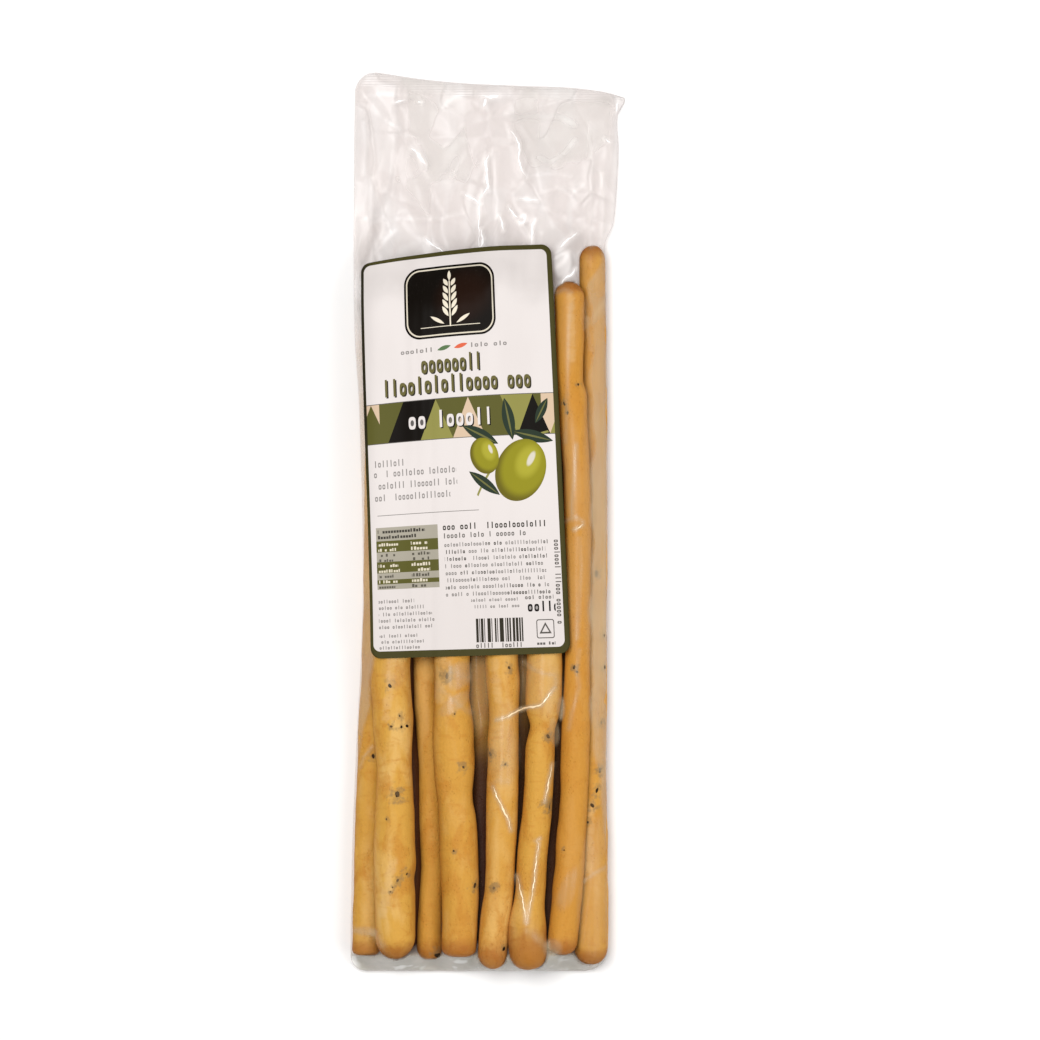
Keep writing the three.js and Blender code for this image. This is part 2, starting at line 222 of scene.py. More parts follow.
def filmHeight(x, y):
    height = np.full(np.shape(x), float(bag["looseHeight"]))
    for fold in bag["folds"]:
        height = height + ridge(x, y, fold["from"], fold["to"], fold["height"], fold["width"])
    for stick in breadsticks.values():
        height = smoothMax(height, drapeOverStick(stick, x, y), bag["valleyRounding"])
    return height


def roll(distance, width):
    inward = np.clip(distance / width, 0, 1)
    return np.sqrt(1 - (1 - inward) ** 2)


def cornerInset(distance, radius):
    up = np.clip(distance, 0, radius)
    return radius - np.sqrt(radius * radius - (radius - up) ** 2)


# shader and mesh helpers

def feed(tree, slot, item):
    # a link or a plain value into one input
    if isinstance(item, Value):
        item = item.socket
    if isinstance(item, bpy.types.NodeSocket):
        tree.links.new(item, slot)
    elif slot.type == "RGBA":
        slot.default_value = (*item, 1)
    else:
        slot.default_value = item


def addNode(tree, kind, sockets=None, **settings):
    # one node, its settings first and then its inputs; gives back its outputs
    node = tree.nodes.new(kind)
    for key, item in settings.items():
        setattr(node, key, item)
    for key, item in (sockets or {}).items():
        feed(tree, node.inputs[key], item)
    return node.outputs


def operator(operation, reflected=False):
    # a method that adds one Math node for its values
    def method(self, *others):
        values = (*others, self) if reflected else (self, *others)
        sockets = dict(enumerate(values))
        return Value(self.paint, addNode(self.paint.tree, "ShaderNodeMath", sockets, operation=operation)[0])
    return method


class Value:
    # a socket that can be used in ordinary expressions
    def __init__(self, paint, socket):
        self.paint = paint
        self.socket = socket

    __add__ = __radd__ = operator("ADD")
    __mul__ = __rmul__ = operator("MULTIPLY")
    __sub__ = operator("SUBTRACT")
    __rsub__ = operator("SUBTRACT", reflected=True)
    __truediv__ = operator("DIVIDE")
    __lt__ = operator("LESS_THAN")
    __gt__ = operator("GREATER_THAN")
    __abs__ = operator("ABSOLUTE")
    floor = operator("FLOOR")
    wrap = operator("FLOORED_MODULO")
    most = operator("MAXIMUM")
    sine = operator("SINE")

    def clip(self):
        return self.paint.node("Clamp", {"Value": self})["Result"]

    def ease(self, low, high):
        # 0 below low, 1 above high, smooth between
        sockets = {"Value": self, "From Min": low, "From Max": high}
        return self.paint.node("MapRange", sockets, interpolation_type="SMOOTHSTEP")["Result"]


class Paint:
    # one procedural material, with a method for any kind of node
    def __init__(self, name):
        self.material = bpy.data.materials.new(name)
        self.material.use_nodes = True
        self.tree = self.material.node_tree
        self.tree.nodes.clear()
        self.output = self.tree.nodes.new("ShaderNodeOutputMaterial")

    def node(self, kind, sockets=None, **settings):
        outputs = addNode(self.tree, "ShaderNode" + kind, sockets, **settings)
        return {socket.name: Value(self, socket) for socket in outputs if socket.enabled}

    def place(self):
        return self.node("TexCoord")["Object"]

    def parts(self, vector):
        return tuple(self.node("SeparateXYZ", {"Vector": vector}).values())

    def moved(self, vector, offset=(0, 0, 0), scale=(1, 1, 1)):
        return self.node("Mapping", {"Vector": vector, "Location": offset, "Scale": scale})["Vector"]

    def vector(self, operation, first, second):
        key = "Scale" if operation == "SCALE" else 1
        return self.node("VectorMath", {0: first, key: second}, operation=operation)["Vector"]

    def noise(self, vector, scale, detail=3, rough=0.55, distortion=0):
        sockets = {"Vector": vector, "Scale": scale, "Detail": detail, "Roughness": rough}
        return self.node("TexNoise", {**sockets, "Distortion": distortion})["Fac"]

    def cells(self, vector, scale):
        return self.node("TexVoronoi", {"Vector": vector, "Scale": scale})["Distance"]

    def attribute(self, name):
        return self.node("Attribute", attribute_name=name)["Fac"]

    def blend(self, first, second, share, mode="MIX"):
        return self.node("Mix", {0: share, 6: first, 7: second}, data_type="RGBA", blend_type=mode)["Result"]

    def facets(self, place, scale, stretch, wander):
        # tilted patches like crumpled film: their height, and one random tone each
        bent = self.node("TexNoise", {"Vector": place, "Scale": scale * 0.8, "Detail": 1.0})["Color"]
        shifted = self.vector("ADD", place, self.vector("SCALE", bent, wander))
        flat = self.moved(shifted, scale=(1, stretch, 0))
        sockets = {"Vector": flat, "Scale": scale, "Smoothness": 0.35}
        cell = self.node("TexVoronoi", sockets, feature="SMOOTH_F1", voronoi_dimensions="2D")
        x, y, _ = self.parts(self.vector("SUBTRACT", flat, cell["Position"]))
        tiltX, tiltY, random = self.parts(cell["Color"])
        return x * (tiltX - 0.5) + y * (tiltY - 0.5), random

    def bump(self, height, strength, distance):
        return self.node("Bump", {"Height": height, "Strength": strength, "Distance": distance})["Normal"]

    def surface(self, color, rough, specular, normal=None):
        sockets = {"Base Color": color, "Roughness": rough, "Specular IOR Level": specular}
        if normal:
            sockets["Normal"] = normal
        return self.node("BsdfPrincipled", sockets)["BSDF"]

    def finish(self, shader):
        self.tree.links.new(shader.socket, self.output.inputs["Surface"])
        return self.material


def tone(red, green, blue):
    # a colour as seen on screen, 0 to 255, as linear light
    shares = [part / 255 for part in (red, green, blue)]
    return tuple(share / 12.92 if share <= 0.04045 else ((share + 0.055) / 1.055) ** 2.4 for share in shares)


def meshObject(name, points, faces, materials, smooth=True):
    mesh = bpy.data.meshes.new(name)
    mesh.from_pydata([tuple(point) for point in np.asarray(points) * mm], [], faces)
    mesh.update()
    mesh.polygons.foreach_set("use_smooth", [smooth] * len(mesh.polygons))
    for material in materials:
        mesh.materials.append(material)
    return linked(name, mesh)


def linked(name, data):
    piece = bpy.data.objects.new(name, data)
    scene.collection.objects.link(piece)
    return piece


def rimWalk(rows, columns):
    # once round the edge of a grid, counter-clockwise
    outer = [(0, i) for i in range(columns)] + [(j, columns - 1) for j in range(1, rows)]
    outer += [(rows - 1, i) for i in range(columns - 2, -1, -1)]
    return outer + [(j, 0) for j in range(rows - 2, 0, -1)]


def gridFaces(rows, columns, first=0, under=False):
    faces = []
    for j in range(rows - 1):
        for i in range(columns - 1):
            a = first + j * columns + i
            b = a + columns
            faces.append((a, b, b + 1, a + 1) if under else (a, a + 1, b + 1, b))
    return faces


def closedSheet(name, upper, lower, every, materials, zoneOf):
    # an upper grid, a lower one that keeps one row and column in every few, and the rim between them
    rows, columns = upper.shape[:2]
    lowRows, lowColumns = lower.shape[:2]
    first = rows * columns
    faces = gridFaces(rows, columns) + gridFaces(lowRows, lowColumns, first, under=True)

    def below(j, i):
        return first + min(j // every, lowRows - 1) * lowColumns + min(i // every, lowColumns - 1)

    outer = rimWalk(rows, columns)
    for here, after in zip(outer, outer[1:] + outer[:1]):
        a, b = here[0] * columns + here[1], after[0] * columns + after[1]
        c, d = below(*here), below(*after)
        faces += [(b, a, c), (b, c, d)] if c != d else [(b, a, c)]
    points = np.concatenate([upper.reshape(-1, 3), lower.reshape(-1, 3)])
    piece = meshObject(name, points, faces, materials)
    zones = [zoneOf(list(face)) for face in faces]
    piece.data.polygons.foreach_set("material_index", np.array(zones, np.int32))
    return piece


def paintPoints(piece, name, values):
    layer = piece.data.attributes.new(name, "FLOAT", "POINT")
    layer.data.foreach_set("value", np.asarray(values, np.float32))


def pointsOf(piece):
    flat = np.empty(len(piece.data.vertices) * 3, np.float32)
    piece.data.vertices.foreach_get("co", flat)
    return flat.reshape(-1, 3) / mm


def ease(value, low, high):
    t = np.clip((value - low) / (high - low), 0, 1)
    return t * t * (3 - 2 * t)


# the camera comes first

photograph = {"mmPerPixel": 0.43, "pixels": 1040, "middle": (13.98, 0.65), "plane": 12, "distance": 2600}


def makeCamera():
    width = photograph["mmPerPixel"] * photograph["pixels"]
    data = bpy.data.cameras.new("camera")
    data.sensor_width = 36
    data.lens = data.sensor_width * photograph["distance"] / width
    data.clip_start = 0.05
    data.clip_end = 50
    camera = linked("camera", data)
    x, y = photograph["middle"]
    camera.location = (x * mm, y * mm, (photograph["plane"] + photograph["distance"]) * mm)
    scene.camera = camera


makeCamera()
print("camera placed")

# breadsticks

crust = {
    "golden": tone(213, 163, 69), "pale": tone(227, 186, 109), "amber": tone(195, 132, 44),
    "toasted": tone(201, 138, 48), "brown": tone(156, 88, 28), "flour": tone(226, 190, 130),
    "stain": tone(142, 116, 76), "gapShade": tone(54, 17, 4),
    "lumpSize": 13, "lumpHeight": 0.75, "wrinkleSize": 3.4, "wrinkleHeight": 0.2,
    "sides": 40, "step": 1.3, "endSteps": 12, "mergeDistance": 0.04, "thinnest": 0.02,
    # how far the painted gap shade reaches out from a neighbour's surface, and how far the baked ends reach
    "gapShadeReach": 2.6, "bakedFoot": 8, "bakedHead": 6,
}

# Olive pieces that show, on each breadstick: place, size along and across, turn in degrees, and how pale.
olivePieces = {
    "left_front": [
        ((-41.7, -70.3), (1.5, 1.2), 20, 0.0), ((-36.8, -87.9), (0.9, 0.7), 0, 0.1),
        ((-34.4, -87.6), (1.3, 0.9), 60, 0.0), ((-41.1, -87.7), (0.9, 0.6), 80, 0.5),
        ((-37.6, -83.2), (0.7, 0.6), 0, 0.4), ((-38.5, -117.0), (2.4, 1.5), 8, 0.5),
        ((-38.9, -117.6), (0.9, 0.7), 0, 0.0), ((-34.6, -150.7), (1.3, 0.8), -30, 0.2),
        ((-38.4, -153.6), (1.2, 0.9), -40, 0.7), ((-40.6, -156.6), (0.7, 0.5), 0, 0.3),
        ((-41.5, -158.4), (0.6, 0.4), 0, 0.3), ((-43.2, -127.5), (0.6, 0.5), 0, 0.4),
    ],
    "left_low": [
        ((-49.2, -100.9), (1.6, 0.9), 10, 0.1),
    ],
    "middle_front": [
        ((-17.3, -66.0), (2.1, 1.1), 0, 0.8), ((-10.4, -105.0), (1.5, 1.2), 30, 0.5),
        ((-14.0, -82.4), (0.6, 0.5), 0, 0.4), ((-14.4, -141.0), (0.7, 0.6), 0, 0.4),
        ((-5.4, -156.0), (1.6, 1.0), -25, 0.2),
    ],
    "gap_low": [
        ((-21.6, -186.4), (2.6, 2.2), 70, 0.15),
    ],
    "slim_front": [
        ((9.3, -62.7), (1.3, 0.8), 20, 0.4), ((1.2, -99.5), (1.4, 0.8), 50, 0.6),
        ((2.8, -157.0), (1.4, 1.2), 0, 0.9), ((7.0, -183.0), (1.5, 1.0), -30, 0.0),
        ((7.6, -104.0), (0.8, 0.6), 0, 0.5),
    ],
    "necked_front": [
        ((26.0, -92.1), (1.4, 1.0), 30, 0.6), ((26.6, -121.7), (2.6, 0.6), -8, 0.5),
    ],
    "right_front": [
        ((37.2, -62.4), (1.2, 0.8), -20, 0.4), ((38.4, -64.4), (0.8, 0.6), 10, 0.6),
        ((32.9, -140.8), (0.5, 0.4), 0, 0.0), ((38.9, 58.7), (0.8, 0.6), 0, 0.2),
        ((33.0, 50.5), (1.6, 0.9), 30, 0.2), ((34.4, 46.5), (1.2, 0.8), -10, 0.2),
    ],
    "right_edge": [
        ((50.3, -62.6), (1.7, 0.9), 0, 0.1), ((48.8, -86.2), (1.3, 0.7), 0, 0.6),
        ((48.4, -106.9), (1.8, 0.9), -12, 0.4), ((47.0, -115.5), (1.5, 0.8), -20, 0.1),
        ((44.9, -122.0), (1.9, 1.2), 30, 0.3), ((43.2, -129.2), (0.9, 0.7), 0, 0.5),
        ((46.8, -22.3), (2.3, 1.0), 0, 0.0), ((50.0, -49.0), (1.4, 0.8), 0, 0.2),
    ],
}

# Floury streaks: stick, from, to and half width.
flourStreaks = [
    ("left_front", (-40.2, -56), (-43.5, -84), 2.6), ("middle_front", (-19.5, -58), (-20.5, -76), 3.0),
    ("left_front", (-40, -145), (-45, -168), 2.6), ("slim_front", (3, -60), (4.5, -76), 2.6),
    ("right_edge", (45, -122), (43.5, -150), 2.4), ("right_front", (35.5, 96), (36, 70), 2.4),
]


def makeCrust():
    paint = Paint("breadstick_crust")
    place = paint.place()
    cloud = paint.noise(paint.moved(place, scale=(1, 0.38, 1)), 55, 3, 0.55, 0.6)
    patch = paint.noise(paint.moved(place, (3, 1, 2), (1, 0.5, 1)), 110, 4, 0.6, 0.4)
    smear = paint.noise(paint.moved(place, (1, 5, 2), (0.5, 1.1, 0.5)), 230, 4, 0.65, 0.8)
    grain = paint.noise(place, 900, 3, 0.6)
    ragged = paint.noise(place, 420, 3, 0.6)
    baked = (paint.attribute("baked") + (patch - 0.5) * 0.5 + (smear - 0.5) * 0.4).ease(0.2, 0.9)
    flour = (paint.attribute("flour") + (smear - 0.5) * 1.6 + (cloud - 0.5) - 0.25).ease(0.1, 1.0)
    specks = paint.cells(place, 380).ease(0.15, 0.07) * patch.ease(0.48, 0.56)
    smudge = paint.attribute("stain")
    stain = (smudge + (ragged - 0.5) * 1.8 + (grain - 0.5) * 0.6 - 0.25).ease(0.1, 0.7)
    color = crust["golden"]
    for name, share in (
        ("pale", cloud.ease(0.46, 0.66) * 0.8), ("amber", patch.ease(0.46, 0.68) * 0.7),
        ("amber", smear.ease(0.52, 0.7) * 0.45), ("toasted", paint.attribute("toast")),
        # the amber of the lower sides is partly browning of the crust and partly painted shade
        ("amber", paint.attribute("side") * (0.35 + cloud * 0.5)), ("brown", baked * 0.7),
        ("flour", flour * 0.5), ("brown", specks * 0.32), ("stain", stain * smudge.ease(0.02, 0.3) * 0.7),
    ):
        color = paint.blend(color, crust[name], share)
    shade = paint.blend((0.9, 0.89, 0.87), (1.06, 1.06, 1.06), grain)
    color = paint.blend(color, shade, 1.0, "MULTIPLY")
    # painted shade: dark brown where the crust lies deep in a gap, and on the hidden breadsticks
    color = paint.blend(color, crust["gapShade"], paint.attribute("gapShade") * 0.97)
    pores = 1 - paint.cells(place, 700).ease(0.08, 0.3)
    wrinkles = paint.noise(paint.moved(place, scale=(1, 0.22, 1)), 420, 4, 0.6, 1.2)
    rings = paint.noise(paint.moved(place, scale=(0.3, 1.4, 0.3)), 300, 3, 0.55, 0.5)
    height = wrinkles * 0.6 + rings * 0.4 + grain * 0.5 - pores * patch.ease(0.48, 0.52) * 0.5
    return paint.finish(paint.surface(color, 0.7 - cloud * 0.16, 0.22, paint.bump(height, 0.6, 0.0006)))


def makeOliveFlesh():
    paint = Paint("olive_flesh")
    mottle = paint.noise(paint.place(), 1100, 3, 0.6)
    color = paint.blend(tone(128, 104, 72), tone(24, 13, 6), paint.attribute("dark"))
    color = paint.blend(color, tone(84, 64, 36), mottle.ease(0.5, 0.72) * 0.55)
    return paint.finish(paint.surface(color, 0.75 + mottle * 0.2, 0.08, paint.bump(mottle, 0.4, 0.0003)))


def breadstickTree():
    # Geometry Nodes that sweep a ring along a curve and roughen it
    tree = bpy.data.node_groups.new("breadstick", "GeometryNodeTree")
    inputs = {
        "Geometry": ("Geometry", None), "Crust": ("Material", None),
        "Sides": ("Int", 40), "Seed": ("Float", 0.0),
        "Lump Size": ("Float", 0.015), "Lump Height": ("Float", 0.0005),
        "Wrinkle Size": ("Float", 0.003), "Wrinkle Height": ("Float", 0.0001),
    }
    for name, (kind, value) in inputs.items():
        socket = tree.interface.new_socket(name, in_out="INPUT", socket_type="NodeSocket" + kind)
        if value is not None:
            socket.default_value = value
    tree.interface.new_socket("Geometry", in_out="OUTPUT", socket_type="NodeSocketGeometry")
    start = tree.nodes.new("NodeGroupInput").outputs

    def add(kind, sockets=None, **settings):
        return addNode(tree, kind, sockets, **settings)[0]

    ring = add("GeometryNodeCurvePrimitiveCircle", {"Resolution": start["Sides"], "Radius": 1.0})
    radius = add("GeometryNodeInputRadius")
    line = {"Curve": start["Geometry"], "Profile Curve": ring, "Scale": radius, "Fill Caps": True}
    tube = add("GeometryNodeCurveToMesh", line)
    geometry = add("GeometryNodeMergeByDistance", {"Geometry": tube, "Distance": crust["mergeDistance"] * mm})
    normal = add("GeometryNodeInputNormal")
    for name, stretch in (("Lump", 0.6), ("Wrinkle", 0.3)):
        position = add("GeometryNodeInputPosition")
        long = add("ShaderNodeVectorMath", {0: position, 1: (1, stretch, 1)}, operation="MULTIPLY")
        scale = add("ShaderNodeMath", {0: 1.0, 1: start[name + " Size"]}, operation="DIVIDE")
        sockets = {"Vector": long, "W": start["Seed"], "Scale": scale, "Detail": 2.0}
        noise = add("ShaderNodeTexNoise", sockets, noise_dimensions="4D")
        centred = add("ShaderNodeMath", {0: noise, 1: 0.52}, operation="SUBTRACT")
        amount = add("ShaderNodeMath", {0: centred, 1: start[name + " Height"]}, operation="MULTIPLY")
        offset = add("ShaderNodeVectorMath", {0: normal, "Scale": amount}, operation="SCALE")
        geometry = add("GeometryNodeSetPosition", {"Geometry": geometry, "Offset": offset})
    smooth = add("GeometryNodeSetShadeSmooth", {"Geometry": geometry})
    real = add("GeometryNodeRealizeInstances", {"Geometry": smooth})
    painted = add("GeometryNodeSetMaterial", {"Geometry": real, "Material": start["Crust"]})
    tree.links.new(painted, tree.nodes.new("NodeGroupOutput").inputs[0])
    return tree


def grown(carrier, tree, values, name):
    # the tree's result on a carrier object, as a plain mesh object
    modifier = carrier.modifiers.new("grow", "NODES")
    modifier.node_group = tree
    for item in tree.interface.items_tree:
        if item.in_out == "INPUT" and item.name in values:
            modifier[item.identifier] = values[item.name]
    depsgraph = bpy.context.evaluated_depsgraph_get()
    mesh = bpy.data.meshes.new_from_object(carrier.evaluated_get(depsgraph))
    mesh.name = name
    bpy.data.objects.remove(carrier)
    return linked(name, mesh)


def stickLine(stick):
    # points and radii along one breadstick, close together where the ends round off
    foot, head = stick["knots"][0][0], stick["knots"][-1][0]
    footLength, footPower = stick["footEnd"]
    headLength, headPower = stick["headEnd"]
    ends = 1 - np.cos(np.linspace(0, math.pi / 2, crust["endSteps"]))
    body = np.arange(foot + footLength, head - headLength, crust["step"])
    y = np.concatenate([foot + ends[:-1] * footLength, body, head - ends[::-1] * headLength])
    radius = tableValue(stick["knots"], y, 2)
    intoFoot = np.clip(1 - (y - foot) / footLength, 0, 1)
    intoHead = np.clip(1 - (head - y) / headLength, 0, 1)
    radius = radius * (1 - intoFoot ** footPower) ** (1 / footPower)
    radius = radius * (1 - intoHead ** headPower) ** (1 / headPower)
    x = tableValue(stick["knots"], y, 1)
    z = mix(stick["axis"][0], stick["axis"][1], (y - foot) / (head - foot))
    return x, y, z, np.maximum(radius, crust["thinnest"])


def gapShade(name, points, up):
    # painted shade: how dark a place is for lying in a gap between breadsticks, and on the hidden ones
    opened = np.ones(len(points))
    at = points[:, 1]
    for other, stick in breadsticks.items():
        if other != name:
            x, y, z, radius = stickLine(stick)
            away = np.hypot(points[:, 0] - np.interp(at, y, x), points[:, 2] - np.interp(at, y, z))
            gap = away - np.interp(at, y, radius) + np.maximum(y[0] - at, 0) + np.maximum(at - y[-1], 0)
            opened *= 1 - 0.8 * np.exp(-np.maximum(gap, 0) / crust["gapShadeReach"])
    own = breadsticks[name]
    steep = ease(up, 0.3, -0.1) if own["axis"][0] > bag["upperLayer"] else ease(up, 0.5, 0)
    dark = ease(1 - opened, 0.2, 0.62) * steep
    if "shade" in own:
        dark = np.maximum(dark, tableValue(own["shade"], at))
    return dark


def floured(name, x, y):
    total = np.zeros(len(x))
    for owner, start, stop, width in flourStreaks:
        if owner == name:
            total = np.maximum(total, ridge(x, y, start, stop, 1, width, 3))
    return total


def stained(name, x, y):
    # grey smears round the olive pieces
    total = np.zeros(len(x))
    for (px, py), size, _, pale in olivePieces.get(name, []):
        away = np.hypot(x - px, (y - py) * 0.8) / (max(size) * 1.5 + 0.8)
        total = np.maximum(total, np.exp(-away ** 2) * (0.7 + 0.4 * pale))
    return total


def makeBreadstick(name, stick, tree, material):
    x, y, z, radius = stickLine(stick)
    curve = bpy.data.curves.new(name + "_line", "CURVE")
    curve.dimensions = "3D"
    spline = curve.splines.new("POLY")
    spline.points.add(len(x) - 1)
    spline.points.foreach_set("co", np.stack([x * mm, y * mm, z * mm, np.ones(len(x))], 1).ravel())
    spline.points.foreach_set("radius", radius * mm)
    values = {"Sides": crust["sides"], "Seed": float(stick["seed"]), "Crust": material}
    for kind in ("lump", "wrinkle"):
        values[kind.title() + " Size"] = crust[kind + "Size"] * mm
        values[kind.title() + " Height"] = crust[kind + "Height"] * 2 * mm
    piece = grown(linked(name + "_line", curve), tree, values, "breadstick_" + name)
    bpy.data.curves.remove(curve)
    points = pointsOf(piece)
    px, py, pz = points.T
    foot, head = stick["knots"][0][0], stick["knots"][-1][0]
    up = (pz - np.interp(py, y, z)) / np.maximum(np.interp(py, y, radius), 1)
    upper = pz > stick["axis"][0]
    nearFoot = np.exp(-((py - foot) / stick.get("bakedReach", crust["bakedFoot"])) ** 2)
    nearHead = np.exp(-((head - py) / crust["bakedHead"]) ** 2)
    layers = {
        "baked": np.clip(nearFoot + nearHead, 0, 1), "flour": floured(name, px, py) * upper,
        "stain": stained(name, px, py) * upper, "gapShade": gapShade(name, points, up),
        # side: amber towards the lower sides, partly browning and partly painted shade
        "side": ease(up, 0.75, 0.05), "toast": np.full(len(points), stick.get("toast", 0)),
    }
    for layer, amounts in layers.items():
        paintPoints(piece, layer, amounts)
    return piece


crustMaterial = makeCrust()
stickTree = breadstickTree()
stickPieces = {}
for name, stick in breadsticks.items():
    stickPieces[name] = makeBreadstick(name, stick, stickTree, crustMaterial)
print("breadsticks grown:", len(stickPieces))


def stickSurface(name, x, y):
    # height of one breadstick's upper face at a place, and how it leans there
    lineX, lineY, lineZ, lineRadius = stickLine(breadsticks[name])
    radius = np.interp(y, lineY, lineRadius)
    across = np.clip((x - np.interp(y, lineY, lineX)) / radius, -0.97, 0.97)
    height = math.sqrt(1 - across * across)
    return np.interp(y, lineY, lineZ) + radius * height, across, height


def pebble(center, size, turn, tilt, seed, points, faces):
    # one small uneven ellipsoid, laid on the crust and leaning with it
    rng = np.random.default_rng(seed)
    rings, sides = 6, 9
    start = len(points)
    cosTurn, sinTurn = math.cos(turn), math.sin(turn)
    for i in range(rings + 1):
        polar = math.pi * i / rings
        for j in range(1 if i in (0, rings) else sides):
            around = 2 * math.pi * j / sides
            swell = 1 + rng.uniform(-0.22, 0.22)
            px = math.sin(polar) * math.cos(around) * size[1] * swell
            py = math.sin(polar) * math.sin(around) * size[0] * swell
            pz = math.cos(polar) * size[2]
            px, py = px * cosTurn - py * sinTurn, px * sinTurn + py * cosTurn
            px, pz = px * tilt[1] + pz * tilt[0], pz * tilt[1] - px * tilt[0]
            points.append((center[0] + px, center[1] + py, center[2] + pz))

    def ring(i, j):
        return start + 1 + (i - 1) * sides + j % sides

    last = len(points) - 1
    for j in range(sides):
        faces += [(start, ring(1, j), ring(1, j + 1)), (last, ring(rings - 1, j + 1), ring(rings - 1, j))]
        for i in range(1, rings - 1):
            faces.append((ring(i, j), ring(i + 1, j), ring(i + 1, j + 1), ring(i, j + 1)))
    return len(points) - start


oliveShape = {"swell": 0.7, "halfHeight": 0.36, "sunk": 0.12, "firstSeed": 40}


def makeOlives():
    points, faces, dark = [], [], []
    places = [(name, *piece) for name, pieces in olivePieces.items() for piece in pieces]
    for i, (name, (x, y), size, turn, pale) in enumerate(places):
        top, across, height = stickSurface(name, x, y)
        half = (*(part * oliveShape["swell"] for part in size), oliveShape["halfHeight"])
        center = (x, y, top - oliveShape["sunk"])
        seed = oliveShape["firstSeed"] + i
        count = pebble(center, half, math.radians(turn), (across, height), seed, points, faces)
        dark += [1 - pale] * count
    piece = meshObject("olive_pieces", points, faces, [makeOliveFlesh()])
    paintPoints(piece, "dark", dark)
    return piece


olives = makeOlives()
print("olive pieces laid")

# the film

film = {
    # warmBounce is painted light: the milky film tinted as if lit by light bounced off the crust
    "milk": tone(238, 231, 228), "warmBounce": tone(212, 186, 146), "grey": tone(184, 181, 170),
    "clear": (0.935, 0.917, 0.911),
    "columns": 151, "rows": 481, "bodyShare": 0.78, "underEvery": 3, "underGap": 0.3, "lift": 0.35,
    "creaseCount": 60, "creaseSeed": 5, "sharpFrom": 0.6, "emptyFrom": 112, "looseFrom": 55, "ribPitch": 1.1,
    # how milky each part of the film is; crease is the painted highlight along the folds
    "haze": {
        "plain": 0.004, "loose": 0.4, "leftFold": 0.34, "rightFold": 0.36, "looseFold": 0.12,
        "seal": 0.2, "foot": 0.62, "crease": 0.55, "rim": 0.16, "cutEdge": 0.06,
    },
    "underHaze": {"plain": 0.02, "loose": 0.06, "foot": 0.3, "backSeam": 0.12},
    # where each of these starts and where it is full: along the bag, then in from the foot or the top
    "upperLoose": (50, 96), "headLoose": (117, 124),
    "footSeal": (9.5, 7), "topSeal": (7, 5), "topRibs": (6.5, 5.5),
    # how wide the bag's cut edge and rim are, and where the back's seam runs and ends
    "cutWidth": 0.05, "rimWidth": 0.7, "backSeam": {"middle": 0.2, "band": (4.6, 4.0)},
    # how the edge of the folded sides wavers: height, rate and phase of each wave
    "waver": [(0.7, 0.13, 0), (0.5, 0.31, 1)],
    # the ranges that each fold of the empty upper end is drawn from, and how deep they all are
    "draw": {
        "across": (-54, 54), "along": (112, 188), "turnSpread": 0.8, "length": (8, 28), "width": (3, 8),
        "slope": (-0.24, 0.26), "depth": 0.43, "fadeIn": 14,
    },
    # (y, width): how far in from each side the folded film is milky
    "leftGusset": [(-194, 0), (-112, 0), (-95, 2.2), (-80, 4.2), (-60, 6.5), (119, 6.5), (194, 5)],
    "rightGusset": [(-194, 0), (-150, 0), (-125, 2), (-100, 5.8), (-60, 7.3), (85, 6.9), (100, 8),
                    (112, 2), (194, 5)],
}

# Places where the film stands off and looks milky, partly painted reflection of the film: middle, half sizes,
# turn in degrees, and how milky.
veils = [
    ((6.8, -99), (6.5, 14), 0, 0.14), ((7, -84), (6.5, 8), 0, 0.07), ((23.2, -70), (8.5, 13), 4, 0.12),
    ((-3.6, -72), (4.2, 18), 0, 0.16), ((14.6, -66), (2.2, 12), 0, 0.05), ((28.6, -90), (2, 6), 5, 0.2),
    ((31.6, -80), (1.7, 5), 0, 0.3), ((34.4, -158), (3.6, 9), -20, 0.09), ((-12, -66), (7, 5), 40, 0.22),
    ((-14, -78), (8, 3), 35, 0.2), ((32, 111), (4, 6), 0, 0.45), ((28, -183), (4, 4), 40, 0.2),
    ((-52, -176), (5, 2), 0, 0.16), ((36.5, 20), (4, 26), 3, 0.1), ((35, 82), (4, 18), 0, 0.08),
    ((46, 92), (5, 9), -30, 0.12), ((37, -30), (4, 25), 0, 0.08), ((47, 0), (6.5, 78), 0, 0.14),
    ((45.5, 108), (5, 9), 0, 0.1), ((46, -140), (5, 14), -15, 0.12), ((45.5, -166), (7, 22), 0, 0.1),
    ((-40, -64), (5, 8), 0, 0.08),
]
